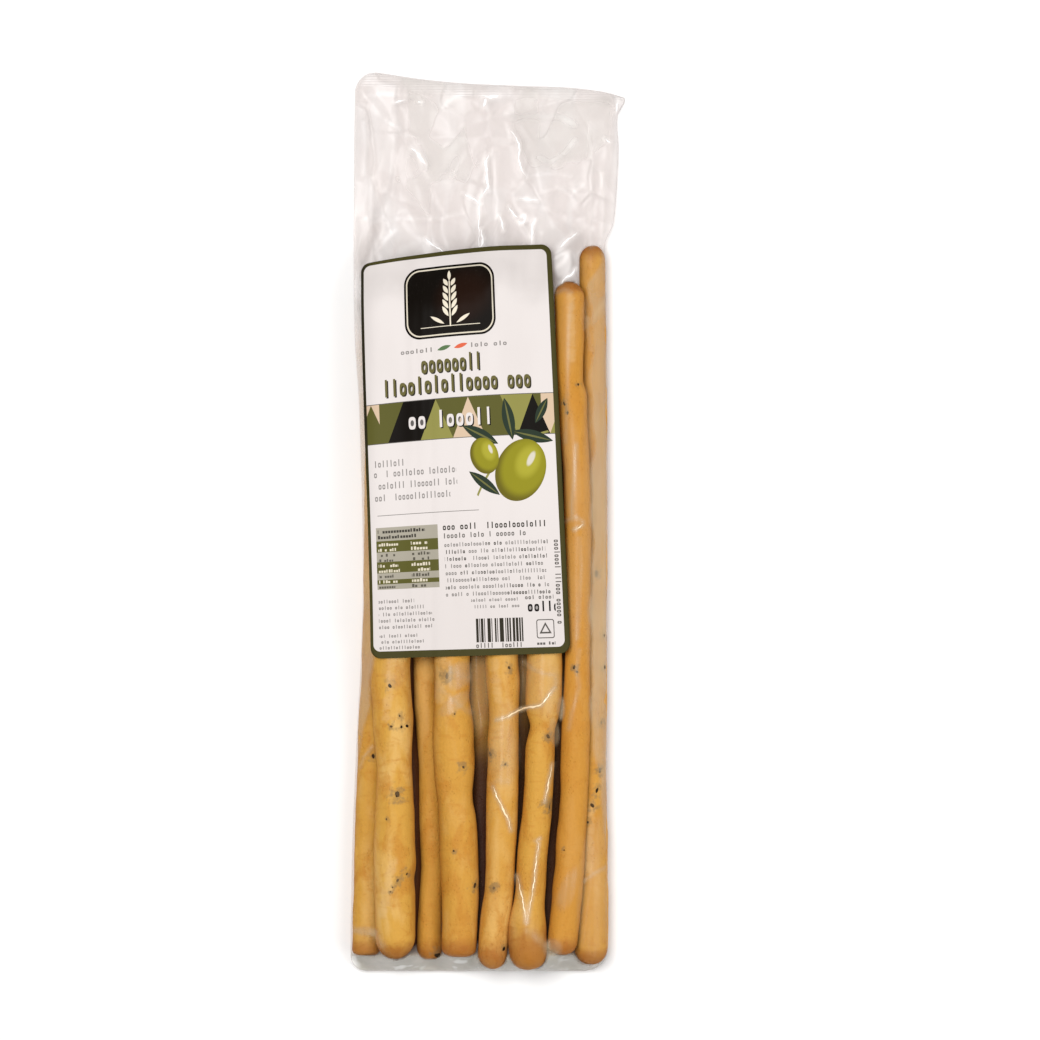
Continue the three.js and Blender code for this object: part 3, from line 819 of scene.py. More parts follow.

# Painted highlights along the folds that catch the light, from the foot to the head: line, half width,
# opacity.
paintedFoldHighlights = [
    ([(3.9, -85), (9.4, -83.3), (13.2, -80.9), (18, -79.5), (23.2, -78.6), (25.1, -75.8),
      (28.9, -71)], 0.42, 0.95),
    ([(16, -60), (18.8, -62.8), (24.5, -65.2), (28.8, -65.7), (29.4, -69), (28, -72)], 0.45, 0.4),
    ([(2.4, -113.5), (4.3, -118.2), (6.7, -123), (9, -127.7), (10.3, -132.4)], 0.42, 0.95),
    ([(27.7, -104), (26.7, -109.7), (25.6, -115.4), (24.7, -120.1)], 0.36, 0.9),
    ([(22.6, -135.7), (20.9, -136.7), (22, -137.7), (20.8, -145.7), (19.9, -155.1), (18.5, -163.7),
      (17, -172)], 0.3, 0.8),
    ([(12.8, -151.8), (14.2, -158), (15.6, -164.6), (16.6, -171.3)], 0.6, 0.65),
    ([(17.5, -175), (21.8, -178.8), (25.6, -182.1), (28.9, -184.5)], 0.9, 0.35),
    ([(39.5, -55), (38.4, -63.3), (39.3, -70.8), (37.9, -76.5), (36, -82.2), (35, -88.8)], 0.4, 0.35),
    ([(1.4, -112.3), (4.8, -110.8), (9.5, -111.6)], 0.6, 0.22),
    ([(51.2, -148.5), (45.5, -151.3), (41.7, -154.1)], 0.5, 0.4),
    ([(38, -149.9), (34.1, -156.1), (31.3, -161.7)], 1.5, 0.16),
    ([(-16.8, -61.2), (-13.1, -64.9), (-8.4, -67.3)], 1.1, 0.28),
    ([(-19.6, -72.4), (-14.9, -76.1), (-10.3, -79.9), (-7.5, -81.7)], 0.8, 0.35),
    ([(-58, -175.8), (-53.2, -176.3), (-48.5, -176.8), (-44.8, -181.4)], 0.9, 0.4),
    ([(-49.5, -96.6), (-53.2, -101.3), (-55, -106)], 0.5, 0.45),
    ([(36, 93), (34.8, 82), (34.5, 68), (34, 52), (33.5, 34)], 0.35, 0.4),
    ([(38, 33), (37.2, 20), (36.1, 7), (36.4, 1)], 0.4, 0.55),
    ([(32, -0.8), (35, 1), (38, 2), (41, -0.2)], 0.5, 0.5),
    ([(37, -3.5), (38.4, -3), (41, -1.2)], 0.4, 0.7),
    ([(39.3, -7), (40.2, -20), (39.3, -33), (38.6, -50)], 0.4, 0.35),
    ([(42.5, 83), (46, 88.6), (51, 95.4)], 0.9, 0.3),
    ([(31.5, 101.8), (33.4, 104.5), (36.5, 106.3), (37.6, 108.6)], 0.6, 0.85),
    ([(29.6, 98), (33, 99.4), (36, 98)], 0.6, 0.5), ([(29.4, 109), (33, 112), (35, 116)], 0.7, 0.5),
    ([(43, 87), (43.5, 80), (44.5, 74)], 0.6, 0.4),
    # the empty upper end
    ([(0.4, 142.5), (-0.4, 149.1), (-0.8, 155), (0.4, 158.2)], 0.7, 0.95),
    ([(-2, 141), (0, 144), (-0.6, 148)], 0.7, 0.6), ([(-10.7, 141.8), (-5.8, 138.9), (-3, 137)], 0.5, 0.7),
    ([(9.6, 169.3), (12.2, 165.3), (13.7, 162.8), (13.4, 157), (14.2, 152.2), (17.1, 148.6)], 0.5, 0.8),
    ([(-33, 161.2), (-29.6, 157.9), (-26.8, 153.9)], 0.8, 0.95),
    ([(-43.6, 173), (-38, 169), (-33, 161.2)], 0.6, 0.4), ([(-40, 180.8), (-35.6, 181.7)], 0.5, 0.95),
    ([(-30.1, 181), (-28.6, 180.8)], 0.5, 0.95), ([(-3, 126.4), (-2, 121.9), (-3, 117.5)], 0.6, 0.9),
    ([(4.9, 132), (6.4, 128.5), (6.9, 125.2)], 0.5, 0.8),
    ([(20.5, 130.4), (19.2, 127.9), (19.1, 119.6)], 0.5, 0.85),
    ([(-6.7, 184.9), (-14.1, 183.3), (-19, 179.2)], 0.8, 0.55), ([(-1.7, 183), (4.9, 183.4)], 1.2, 0.85),
    ([(-0.9, 182.5), (-1.5, 178.8)], 1.0, 0.85), ([(-52, 131), (-49, 122), (-46.5, 113)], 0.7, 0.5),
    ([(-27, 122), (-22.5, 118.5), (-18, 115.6)], 0.7, 0.7),
    ([(-48, 116), (-44.5, 121), (-40, 125.5)], 0.7, 0.5),
    ([(-38.7, 130.8), (-22, 130.4), (-11, 132.9)], 0.6, 0.45), ([(13.2, 139.3), (21.8, 138.5)], 0.6, 0.6),
    ([(31, 118), (35.4, 122), (38.6, 124.5)], 0.9, 0.7),
    ([(8, 175.6), (10.7, 174), (18.9, 174.8), (32, 174.5), (38, 171)], 0.7, 0.5),
    ([(43.6, 172), (44.6, 150), (44, 130), (44.5, 118)], 0.6, 0.3),
    ([(49.3, 150), (49.6, 132), (48.6, 120)], 0.5, 0.5),
    ([(-50, 148), (-50.4, 130), (-50.2, 112)], 0.5, 0.55),
    ([(-53.4, 172), (-53, 160), (-53.6, 150)], 0.6, 0.5),
    ([(-3.4, 140), (-3.8, 128), (-3.6, 114)], 0.4, 0.6), ([(3.6, 158), (3.2, 140), (3.8, 118)], 0.35, 0.3),
    ([(22, 157), (27, 155), (33, 159), (38, 165)], 0.6, 0.45),
    ([(-53, 183), (-46, 184.6), (-38, 184), (-30, 183)], 0.7, 0.4),
    ([(24, 142), (30, 144), (36, 141), (41, 145)], 0.6, 0.4),
    ([(18, 148.8), (26, 150), (36, 149)], 0.5, 0.35), ([(9, 136), (12, 131.4), (14, 131)], 0.5, 0.7),
    ([(14, 131.3), (15.8, 132), (16.2, 129.6), (14.4, 128.4), (13, 130)], 0.5, 0.85),
    ([(56.4, 181.5), (55.4, 176.5)], 0.7, 0.7), ([(50.5, 165), (53, 163.5)], 0.7, 0.6),
]


def filmShader(paint, color, opacity, rough, normal=None):
    clear = paint.node("BsdfTransparent", {"Color": film["clear"]})["BSDF"]
    milky = paint.surface(color, rough, 0.6, normal)
    return paint.finish(paint.node("MixShader", {0: opacity, 1: clear, 2: milky})["Shader"])


def makeSnugFilm():
    # film that lies close on the breadsticks: clear, milky where the attribute says, warm with painted bounce
    # light, and grey at the sealed foot, partly for its folded layers and partly as painted shade, with paler
    # streaks
    paint = Paint("film_snug")
    streak = paint.noise(paint.moved(paint.place(), scale=(1, 0.3, 1)), 90, 2, 0.6)
    shade = paint.attribute("shade")
    color = paint.blend(film["warmBounce"], film["milk"], paint.attribute("loose"))
    color = paint.blend(color, film["grey"], shade)
    color = paint.blend(color, (0.9, 0.9, 0.88), streak.ease(0.56, 0.66) * shade * 0.7)
    return filmShader(paint, color, (paint.attribute("haze") * (0.6 + streak * 0.8)).clip(), 0.2)


def makeLooseFilm():
    # the empty, crumpled upper end; its facets and streaks are also painted lighter or greyer as light and
    # shade, beside the real bump
    paint = Paint("film_loose")
    place = paint.place()
    _, y, _ = paint.parts(place)
    loose = paint.attribute("loose")
    streak = paint.noise(paint.moved(place, scale=(1, 0.25, 1)), 60, 2, 0.6, 0.6)
    big, bigTone = paint.facets(place, 34, 0.5, 0.02)
    small, smallTone = paint.facets(place, 85, 0.7, 0.006)
    tint = bigTone * 0.6 + smallTone * 0.4
    opacity = (paint.attribute("haze") * (0.8 + (tint - 0.5) * 0.5 + (streak - 0.5) * 0.5)).clip()
    # painted light: lighter facets and streaks, then greyer facets, as each catches the light
    paintedSheen = streak.ease(0.48, 0.68) * 0.5 + tint.ease(0.55, 0.9) * 0.5
    color = paint.blend(film["warmBounce"], film["milk"], loose)
    color = paint.blend(color, (1, 0.985, 0.98), paintedSheen * loose)
    color = paint.blend(color, tone(206, 206, 198), tint.ease(0.45, 0.1) * loose * 0.5)
    ribs = paint.attribute("ribs") * (y * (2 * math.pi / (film["ribPitch"] * mm))).sine()
    height = (big * 0.15 + small * 0.12) * loose + ribs * 0.00005
    return filmShader(paint, color, opacity, 0.3, paint.bump(height, 1.0, 1.0))


def makeGlint():
    # painted highlight: the sharpest folds are solid light-coloured slivers, cream lower down and white near
    # the upper end, so that no more clear layers are stacked
    paint = Paint("film_glint")
    _, y, _ = paint.parts(paint.place())
    color = paint.blend(tone(250, 226, 186), (1, 0.99, 0.985), y.ease(0.08, 0.1))
    return paint.finish(paint.surface(color, 0.25, 0.8))


def looseCreases(x, y):
    # sharp, straight folds of the empty upper end, with a fixed draw
    rng = np.random.default_rng(film["creaseSeed"])
    total = np.zeros(np.shape(x))
    draw = film["draw"]
    for _ in range(film["creaseCount"]):
        cx, cy = rng.uniform(*draw["across"]), rng.uniform(*draw["along"])
        turn = rng.normal(math.pi / 2, draw["turnSpread"])
        length, width = rng.uniform(*draw["length"]), rng.uniform(*draw["width"])
        slope = rng.uniform(*draw["slope"])
        ux, uy = math.cos(turn), math.sin(turn)
        along = ((x - cx) * ux + (y - cy) * uy) / length
        aside = (x - cx) * uy - (y - cy) * ux
        fade = np.exp(-(aside / width) ** 2) * np.exp(-along ** 4)
        total += slope * (width * draw["depth"] - np.abs(aside)) * fade
    return total


def filmSurface(x, y):
    empty = np.clip((y - film["emptyFrom"]) / film["draw"]["fadeIn"], 0, 1)
    return filmHeight(x, y) + looseCreases(x, y) * empty


def filmGrid():
    # places and distances from the four edges, row by row
    columns, rows = film["columns"], film["rows"]
    u = np.linspace(0, 1, columns)
    fraction = np.clip(u - 0.055 * np.sin(2 * math.pi * u), 0, 1)
    bodyRows = int(rows * film["bodyShare"])
    t = np.linspace(0, 1, bodyRows)
    body = mix(bag["foot"], bag["headRow"], np.clip(t - 0.03 * np.sin(math.pi * t), 0, 1))
    y = np.concatenate([body, np.full(rows - bodyRows, float(bag["headRow"]))])
    share = np.concatenate([np.zeros(bodyRows), np.linspace(0, 1, rows - bodyRows + 1)[1:]])
    topFirst, topLast = bag["topEdge"][0][1], bag["topEdge"][-1][1]
    fromFoot = y - bag["foot"]
    fromTop = (1 - share) * (topFirst - bag["headRow"]) + bag["headRow"] - y
    left = tableValue(bag["left"], mix(y, topFirst, share))
    left = left + cornerInset(fromFoot, bag["footCorner"]["left"]) + cornerInset(fromTop, bag["topCorner"])
    right = tableValue(bag["right"], mix(y, topLast, share))
    right = right - cornerInset(fromFoot, bag["footCorner"]["right"])
    x = left[:, None] + (right - left)[:, None] * fraction[None, :]
    yy = mix(y[:, None], tableValue(bag["topEdge"], x), share[:, None])
    edges = {
        "foot": fromFoot[:, None] + 0 * x, "top": fromTop[:, None] + 0 * x,
        "left": x - left[:, None], "right": right[:, None] - x,
    }
    return x, yy, edges


def filmEdgeRoll(edges):
    sides = roll(edges["left"], bag["roll"]["side"]) * roll(edges["right"], bag["roll"]["side"])
    return sides * roll(edges["foot"], bag["roll"]["foot"]) * roll(edges["top"], bag["roll"]["top"])


def stickCover(x, y):
    # height of the highest breadstick under each place, and 1 where there is one
    top = np.zeros(np.shape(x))
    cover = np.zeros(np.shape(x))
    for stick in breadsticks.values():
        lineX, lineY, lineZ, lineRadius = stickLine(stick)
        radius = np.interp(y, lineY, lineRadius, left=-9, right=-9)
        across = np.abs(x - np.interp(y, lineY, lineX))
        under = np.sqrt(np.maximum(radius * np.abs(radius) - across ** 2, 0)) + np.interp(y, lineY, lineZ)
        top = np.maximum(top, np.where(across < radius, under, 0))
        cover = np.maximum(cover, ease(radius - across, -0.6, 0.2))
    return top, cover


def paintedCreaseGlow(x, y):
    total = np.zeros(np.shape(x))
    for line, halfWidth, strength in paintedFoldHighlights:
        spread = max(halfWidth * 1.7, 0.9)
        bounds = np.array(line)
        near = (x > bounds[:, 0].min() - 6) & (x < bounds[:, 0].max() + 6)
        near &= (y > bounds[:, 1].min() - 6) & (y < bounds[:, 1].max() + 6)
        for start, stop in zip(line, line[1:]):
            fold = ridge(x[near], y[near], start, stop, strength * film["haze"]["crease"], spread)
            total[near] = np.maximum(total[near], fold)
    return total


def veilHaze(x, y):
    total = np.zeros(np.shape(x))
    for (cx, cy), (halfX, halfY), degrees, strength in veils:
        turn = math.radians(degrees)
        dx, dy = x - cx, y - cy
        along = (dx * math.cos(turn) + dy * math.sin(turn)) / halfX
        aside = (dy * math.cos(turn) - dx * math.sin(turn)) / halfY
        total = np.maximum(total, strength * ease(1.25 - np.hypot(along, aside), 0, 0.5))
    return total


def filmHaze(x, y, edges, cover):
    # how milky the film is: folded sides, sealed ends, loose upper end; the glow along the folds is painted
    # highlight and the veils are partly painted reflection
    amount = film["haze"]
    loose = np.maximum(ease(y, *film["headLoose"]), ease(y, *film["upperLoose"]) * (1 - cover))
    waver = sum(high * np.sin(y * rate + phase) for high, rate, phase in film["waver"])
    haze = amount["plain"] + loose * amount["loose"]
    for side in ("left", "right"):
        width = tableValue(film[side + "Gusset"], y)
        fold = ease(width + waver * (width > 1) - edges[side], -0.8, 1.6)
        haze = haze + fold * (amount[side + "Fold"] * (1 - loose) + amount["looseFold"] * loose)
    foot = ease(edges["foot"], *film["footSeal"]) * (1 - cover)
    haze = haze + ease(edges["top"], *film["topSeal"]) * amount["seal"] + foot * amount["foot"]
    haze = haze + paintedCreaseGlow(x, y) + veilHaze(x, y)
    rim = np.minimum.reduce(list(edges.values()))
    haze = np.maximum(haze, amount["rim"] * (rim < film["rimWidth"]))
    haze = np.where(rim < film["cutWidth"], amount["cutEdge"], haze)
    return haze, foot, loose, ease(edges["top"], *film["topRibs"])


def makeFilmPiece(materials):
    x, y, edges = filmGrid()
    seam = tableValue(bag["seamHeight"], y)
    inside = filmEdgeRoll(edges)
    onEdge = np.ones(x.shape, bool)
    onEdge[1:-1, 1:-1] = False
    top, cover = stickCover(x, y)
    height = np.maximum(mix(seam, filmSurface(x, y), inside), film["underGap"] + 0.4)
    height = np.where(onEdge, seam, np.maximum(height, np.where(top > 0, top + film["lift"], 0)))
    every = film["underEvery"]
    pick = slice(every // 2, None, every)

    def under(values):
        return values[pick, pick]

    underHeight = mix(under(seam) - 0.25, film["underGap"], under(inside))
    upper = np.stack([x, y, height], -1)
    lower = np.stack([under(x), under(y), underHeight], -1)
    placeY = np.concatenate([y.ravel(), under(y).ravel()])

    def zoneOf(face):
        return placeY[face].mean() > film["looseFrom"]

    piece = closedSheet("film_bag", upper, lower, every, materials, zoneOf)
    haze, foot, loose, sealed = filmHaze(x, y, edges, cover)
    amount = film["underHaze"]
    footBelow = ease(under(edges["foot"]), *film["footSeal"])
    seamBand = ease(np.abs(under(x) - film["backSeam"]["middle"]), *film["backSeam"]["band"])
    underHaze = amount["plain"] + under(loose) * amount["loose"] + footBelow * amount["foot"]
    underHaze = underHaze + seamBand * amount["backSeam"]
    layers = {
        "haze": (haze, underHaze), "shade": (foot, footBelow),
        "loose": (loose, under(loose)), "ribs": (sealed, under(sealed)),
    }
    for layer, (above, below) in layers.items():
        paintPoints(piece, layer, np.concatenate([above.ravel(), below.ravel()]))
    return piece


# the painted highlight slivers of the sharp folds, and how they wander: width, rate and share of the phase of
# each wave
glint = {
    "step": 0.8, "leastPoints": 6, "wander": [(0.16, 0.9, 1), (0.1, 2.3, 2)], "thinnest": 0.02,
    "lift": 0.06, "crest": 0.1, "rise": 0.2,
}


def makeGlintSlivers(material):
    # painted highlights: each sharp fold gets a low closed ridge of solid light-coloured material laid on the
    # film
    points, faces = [], []
    for line, halfWidth, strength in paintedFoldHighlights:
        if strength < film["sharpFrom"]:
            continue
        line = np.array(line, float)
        lengths = np.concatenate([[0], np.cumsum(np.hypot(*np.diff(line, axis=0).T))])
        count = max(glint["leastPoints"], int(lengths[-1] / glint["step"]))
        at = np.linspace(0, lengths[-1], count)
        sharp = np.stack([np.interp(at, lengths, line[:, k]) for k in (0, 1)], 1)
        soft = sharp.copy()
        soft[1:-1] = (sharp[:-2] + 2 * sharp[1:-1] + sharp[2:]) / 4
        ahead = np.gradient(soft, axis=0)
        ahead /= np.hypot(ahead[:, 0], ahead[:, 1])[:, None]
        aside = np.stack([-ahead[:, 1], ahead[:, 0]], 1)
        phase = halfWidth * 40 + line[0, 0]
        wander = sum(wide * np.sin(at * rate + phase * k) for wide, rate, k in glint["wander"])
        soft += aside * wander[:, None]
        taper = np.sin(np.linspace(0, math.pi, count)) ** 0.8
        uneven = 0.45 + 0.65 * np.abs(np.sin(at * 0.37 + phase)) + 0.25 * np.sin(at * 1.9 + phase)
        width = np.maximum(halfWidth * (strength - 0.15) * taper * uneven, glint["thinnest"])
        start = len(points)
        for k in range(count):
            crest = glint["crest"] + glint["rise"] * width[k]
            for side, lift in ((-1, glint["lift"]), (0, crest), (1, glint["lift"])):
                x, y = soft[k] + aside[k] * side * width[k]
                points.append((x, y, float(filmSurface(x, y)) + lift))
            if k:
                a = start + k * 3
                faces += [(a - 3, a, a + 1, a - 2), (a - 2, a + 1, a + 2, a - 1), (a - 1, a + 2, a, a - 3)]
        last = start + (count - 1) * 3
        faces += [(start, start + 1, start + 2), (last + 2, last + 1, last)]
    faces = [face[::-1] for face in faces]
    return meshObject("film_glint_slivers", points, faces, [material], smooth=False)


filmPiece = makeFilmPiece([makeSnugFilm(), makeLooseFilm()])
glintPiece = makeGlintSlivers(makeGlint())
print("film draped, folds laid:", len(paintedFoldHighlights))

# the label

printColors = {
    "paper": tone(213, 206, 203), "border": tone(66, 62, 30), "dark": tone(13, 8, 4),
    "olive": tone(86, 84, 38), "light": tone(136, 132, 70), "beige": tone(200, 176, 150),
    "grey": tone(92, 88, 84), "leaf": tone(38, 50, 38), "fruit": tone(136, 130, 28),
    "fruitLight": tone(166, 160, 52), "fruitShade": tone(98, 90, 22), "cream": tone(222, 212, 192),
    "brown": tone(36, 17, 7), "title": tone(98, 92, 52), "shadow": tone(46, 42, 32),
    "panel": tone(160, 154, 140), "green": tone(84, 110, 72), "rust": tone(206, 96, 66),
}


def labelPlace(u, v):
    height = label["topLeft"][1] - label["bottomLeft"][1]
    inset = cornerInset(np.minimum(v, 1 - v) * height, label["cornerRadius"])
    bow = label["leftBow"] * np.sin(math.pi * v) * (v - 0.5)
    left = mix(label["bottomLeft"][0], label["topLeft"][0], v) - bow
    right = mix(label["bottomRight"][0], label["topRight"][0], v)
    bottom = mix(label["bottomLeft"][1], label["bottomRight"][1], u)
    top = mix(label["topLeft"][1], label["topRight"][1], u) + label["topBow"] * np.sin(math.pi * u)
    x = mix(left + inset, right - inset, u)
    return x, mix(bottom, top, v), (x - left) / (right - left)


def labelHeight(x, y):
    reach = label["reach"]
    ring = [(math.cos(i * math.pi / 4), math.sin(i * math.pi / 4)) for i in range(8)]
    total = 0
    for cx, cy in [(0, 0)] + ring:
        px, py = x + cx * reach * 0.8, y + cy * reach * 0.8
        highest = filmHeight(px, py)
        for share in (0.5, 1):
            for dx, dy in ring:
                highest = np.maximum(highest, filmHeight(px + dx * share * reach, py + dy * share * reach))
        total = total + highest
    return total / 9 + label["clearance"]


class Print:
    # shapes of flat colour on the label, in millimetres from its lower left corner
    def __init__(self, paint):
        self.paint = paint
        self.uv = paint.node("UVMap", uv_map="print")["UV"]
        u, v, _ = paint.parts(self.uv)
        self.u = u * 1000
        self.v = v * 1000
        self.color = paint.blend(printColors["paper"], printColors["paper"], 0)

    def lay(self, mask, name, strength=1.0):
        share = mask if strength == 1.0 else mask * strength
        self.color = self.paint.blend(self.color, printColors[name], share)

    def box(self, left, bottom, right, top, corner=0.0):
        du = (abs(self.u - (left + right) / 2) - ((right - left) / 2 - corner)).most(0)
        dv = (abs(self.v - (bottom + top) / 2) - ((top - bottom) / 2 - corner)).most(0)
        if corner == 0:
            return (du + dv) < 0.0001
        return (du * du + dv * dv) < corner * corner

    def turned(self, cu, cv, degrees):
        turn = math.radians(degrees)
        du, dv = self.u - cu, self.v - cv
        return du * math.cos(turn) + dv * math.sin(turn), dv * math.cos(turn) - du * math.sin(turn)

    def oval(self, cu, cv, halfLong, halfWide, degrees=0, soft=0.0):
        along, aside = self.turned(cu, cv, degrees)
        away = (along / halfLong) * (along / halfLong) + (aside / halfWide) * (aside / halfWide)
        return away.ease(1 + soft, 1 - soft) if soft else away < 1

    def leaf(self, cu, cv, halfLong, halfWide, degrees):
        along, aside = self.turned(cu, cv, degrees)
        return abs(aside) < (1 - (along / halfLong) * (along / halfLong)) * halfWide

    def draw(self, row, column):
        # one fixed random number per place
        spot = self.paint.node("CombineXYZ", {"X": column, "Y": row})["Vector"]
        return self.paint.node("TexWhiteNoise", {"Vector": spot}, noise_dimensions="2D")["Value"]

    def words(self, left, bottom, right, top, rows, letter, seed, tall=0.55, ragged=0.25,
              hollow=0.0, gaps=0.13):
        # rows of small uneven blocks that only suggest text
        pitch = (top - bottom) / rows
        row = ((self.v - bottom) / pitch).floor()
        up = ((self.v - bottom) / pitch).wrap(1)
        place = (self.u - left + row * 0.37) / letter
        column, across = place.floor(), place.wrap(1)
        ink = self.draw(row + seed, column + seed * 3.0)
        height = (ink > 0.62) * (0.28 * tall) + tall * 0.74
        if hollow:
            # upright strokes, and rounded rings in between
            stroke = (abs(across - 0.38) < 0.13) * (up > 0.12) * (up < height + 0.12) * (ink > 0.62)
            wide, high = abs(across - 0.38) / 0.37, abs(up - 0.12 - tall * 0.37) / (tall * 0.37)
            ring = (wide * wide * wide + high * high * high) < 1
            core = (wide * wide + high * high) < 0.24
            mark = stroke.most(ring * (1 - core * hollow) * (ink < 0.62))
        else:
            mark = (up > 0.12) * (up < height + 0.12) * (across < 0.78 - (ink > 0.8) * 0.25)
        end = right - self.draw(row + seed * 5.0, seed) * ((right - left) * ragged) if ragged else right
        return mark * (self.u < end) * self.box(left, bottom, right, top) * (ink > gaps)


def printHead(ink):
    lay, box, words = ink.lay, ink.box, ink.words
    # dark plaque with a wheat ear
    lay(box(19.8, 135.1, 61.2, 165.7, 7.0), "dark")
    lay(box(20.7, 136.0, 60.3, 164.8, 6.2) * (1 - box(21.3, 136.6, 59.7, 164.2, 5.7)), "cream", 0.9)
    lay(ink.oval(47, 152, 12, 10, 20, 0.9), "brown", 0.7)
    ear = box(40.2, 139.5, 40.8, 159, 0.2)
    for i in range(5):
        level, size = 146 + i * 3.1, 2.6 - i * 0.18
        ear = ear.most(ink.leaf(38.4 + i * 0.1, level, size, 0.85, 122))
        ear = ear.most(ink.leaf(42.6 - i * 0.1, level, size, 0.85, 58))
    for cu, cv, size, turn in ((40.5, 161.2, 2.2, 90), (34.6, 142.6, 3.6, 150), (46.4, 142.6, 3.6, 30)):
        ear = ear.most(ink.leaf(cu, cv, size, 0.75, turn))
    lay(ear.most(box(27, 139.6, 54, 139.9)), "cream")
    # small row with two leaves
    lay(words(17.6, 129, 33.2, 132.2, 1, 2.15, 61, 0.6, 0, 0.8), "grey", 0.8)
    lay(words(49, 129.6, 66, 132.8, 1, 2.15, 67, 0.6, 0, 0.8), "grey", 0.8)
    lay(ink.leaf(37.2, 130.6, 3.2, 0.9, 14), "green")
    lay(ink.leaf(44.8, 131, 3.2, 0.9, 14), "rust")
    # heading blocks in two rows, with their shadow
    for shift, name in ((0.55, "shadow"), (0, "title")):
        ink.u, ink.v = ink.u - shift, ink.v + shift
        lay(words(26.5, 119.4, 55, 128.6, 1, 3.5, 4, 0.8, 0, 0.9, 0.02), name)
        lay(words(9, 110.9, 76.5, 120.1, 1, 3.75, 7, 0.8, 0, 0.9, 0.07), name)
        ink.u, ink.v = ink.u + shift, ink.v - shift


def printMiddle(ink):
    lay, box, words = ink.lay, ink.box, ink.words
    # band of pennants
    width = label["printWidth"]
    band = box(0, 92.4, width, 109.2)
    lay(band, "olive")
    step = 14.6
    cell = ((ink.u + 4) / step).floor()
    point = abs(((ink.u + 4) / step).wrap(1) - 0.5) * 2
    upward = band * ((ink.v - 92.4) / 16.8 < 1 - point)
    for low, name in ((0.5, "dark"), (1.5, "light"), (2.5, "beige")):
        lay(upward * (abs(cell.wrap(4) - low - 0.5) < 0.4), name)
    downward = band * (1 - upward)
    half = ((ink.u + 4) / step + 0.5).floor()
    for low, name in ((0, "light"), (2, "dark")):
        lay(downward * (abs(half.wrap(5) - low) < 0.4), name)
    lay(downward * ((ink.u < 7).most(ink.u > 80)), "beige")
    for shift, name in ((0.5, "dark"), (0, "paper")):
        ink.u, ink.v = ink.u - shift, ink.v + shift
        lay(words(20, 96, 56.5, 106, 1, 4.3, 12, 0.72, 0, 0.85, 0.08), name)
        ink.u, ink.v = ink.u + shift, ink.v - shift
    lay(box(0, 109.2, width, 109.5).most(box(0, 92.1, width, 92.4)), "grey")
    # sprig with two olives
    stem, off = ink.turned(63, 84.5, 38)
    lay((abs(off + (stem * stem) * 0.012) < 0.5) * (abs(stem) < 21), "light")
    leaves = [
        (52, 93, 9, 2.5, 152), (65, 99, 9, 2.7, 100), (75.5, 91.5, 9.5, 2.5, -14),
        (53, 72.5, 8.5, 2.3, -38), (80, 102, 6, 2, 60),
    ]
    for cu, cv, size, wide, turn in leaves:
        lay(ink.leaf(cu, cv, size, wide, turn), "leaf")
        lay(ink.leaf(cu, cv, size * 0.92, wide * 0.16, turn), "light", 0.5)
    for cu, cv, half, turn in ((69.5, 77.4, 13.6, 60), (53.5, 84, 7.8, 110)):
        fruit = ink.oval(cu, cv, half, half * 0.8, turn)
        lay(fruit, "fruitShade")
        # each lighter patch: how far up its side, its size, how soft, its colour and strength
        for right, up, long, wide, soft, name, strength in (
            (0.12, 0.1, 0.92, 0.74, 0.35, "fruit", 1.0),
            (0.25, 0.25, 0.5, 0.36, 0.7, "fruitLight", 0.8),
            (0.36, 0.34, 0.24, 0.1, 0.5, "paper", 0.75),
        ):
            patch = ink.oval(cu + half * right, cv + half * up, half * long, half * wide, turn, soft)
            lay(fruit * patch, name, strength)
    # text blocks
    rows = [(3.8, 17, 81.6, 11), (3.6, 40.5, 77.2, 12), (3.7, 40.8, 72.1, 13), (3.7, 37.5, 67, 14)]
    for left, right, low, seed in rows:
        lay(words(left, low, right, low + 4.6, 1, 1.75, seed, 0.62, 0, 0.9), "grey", 0.75)


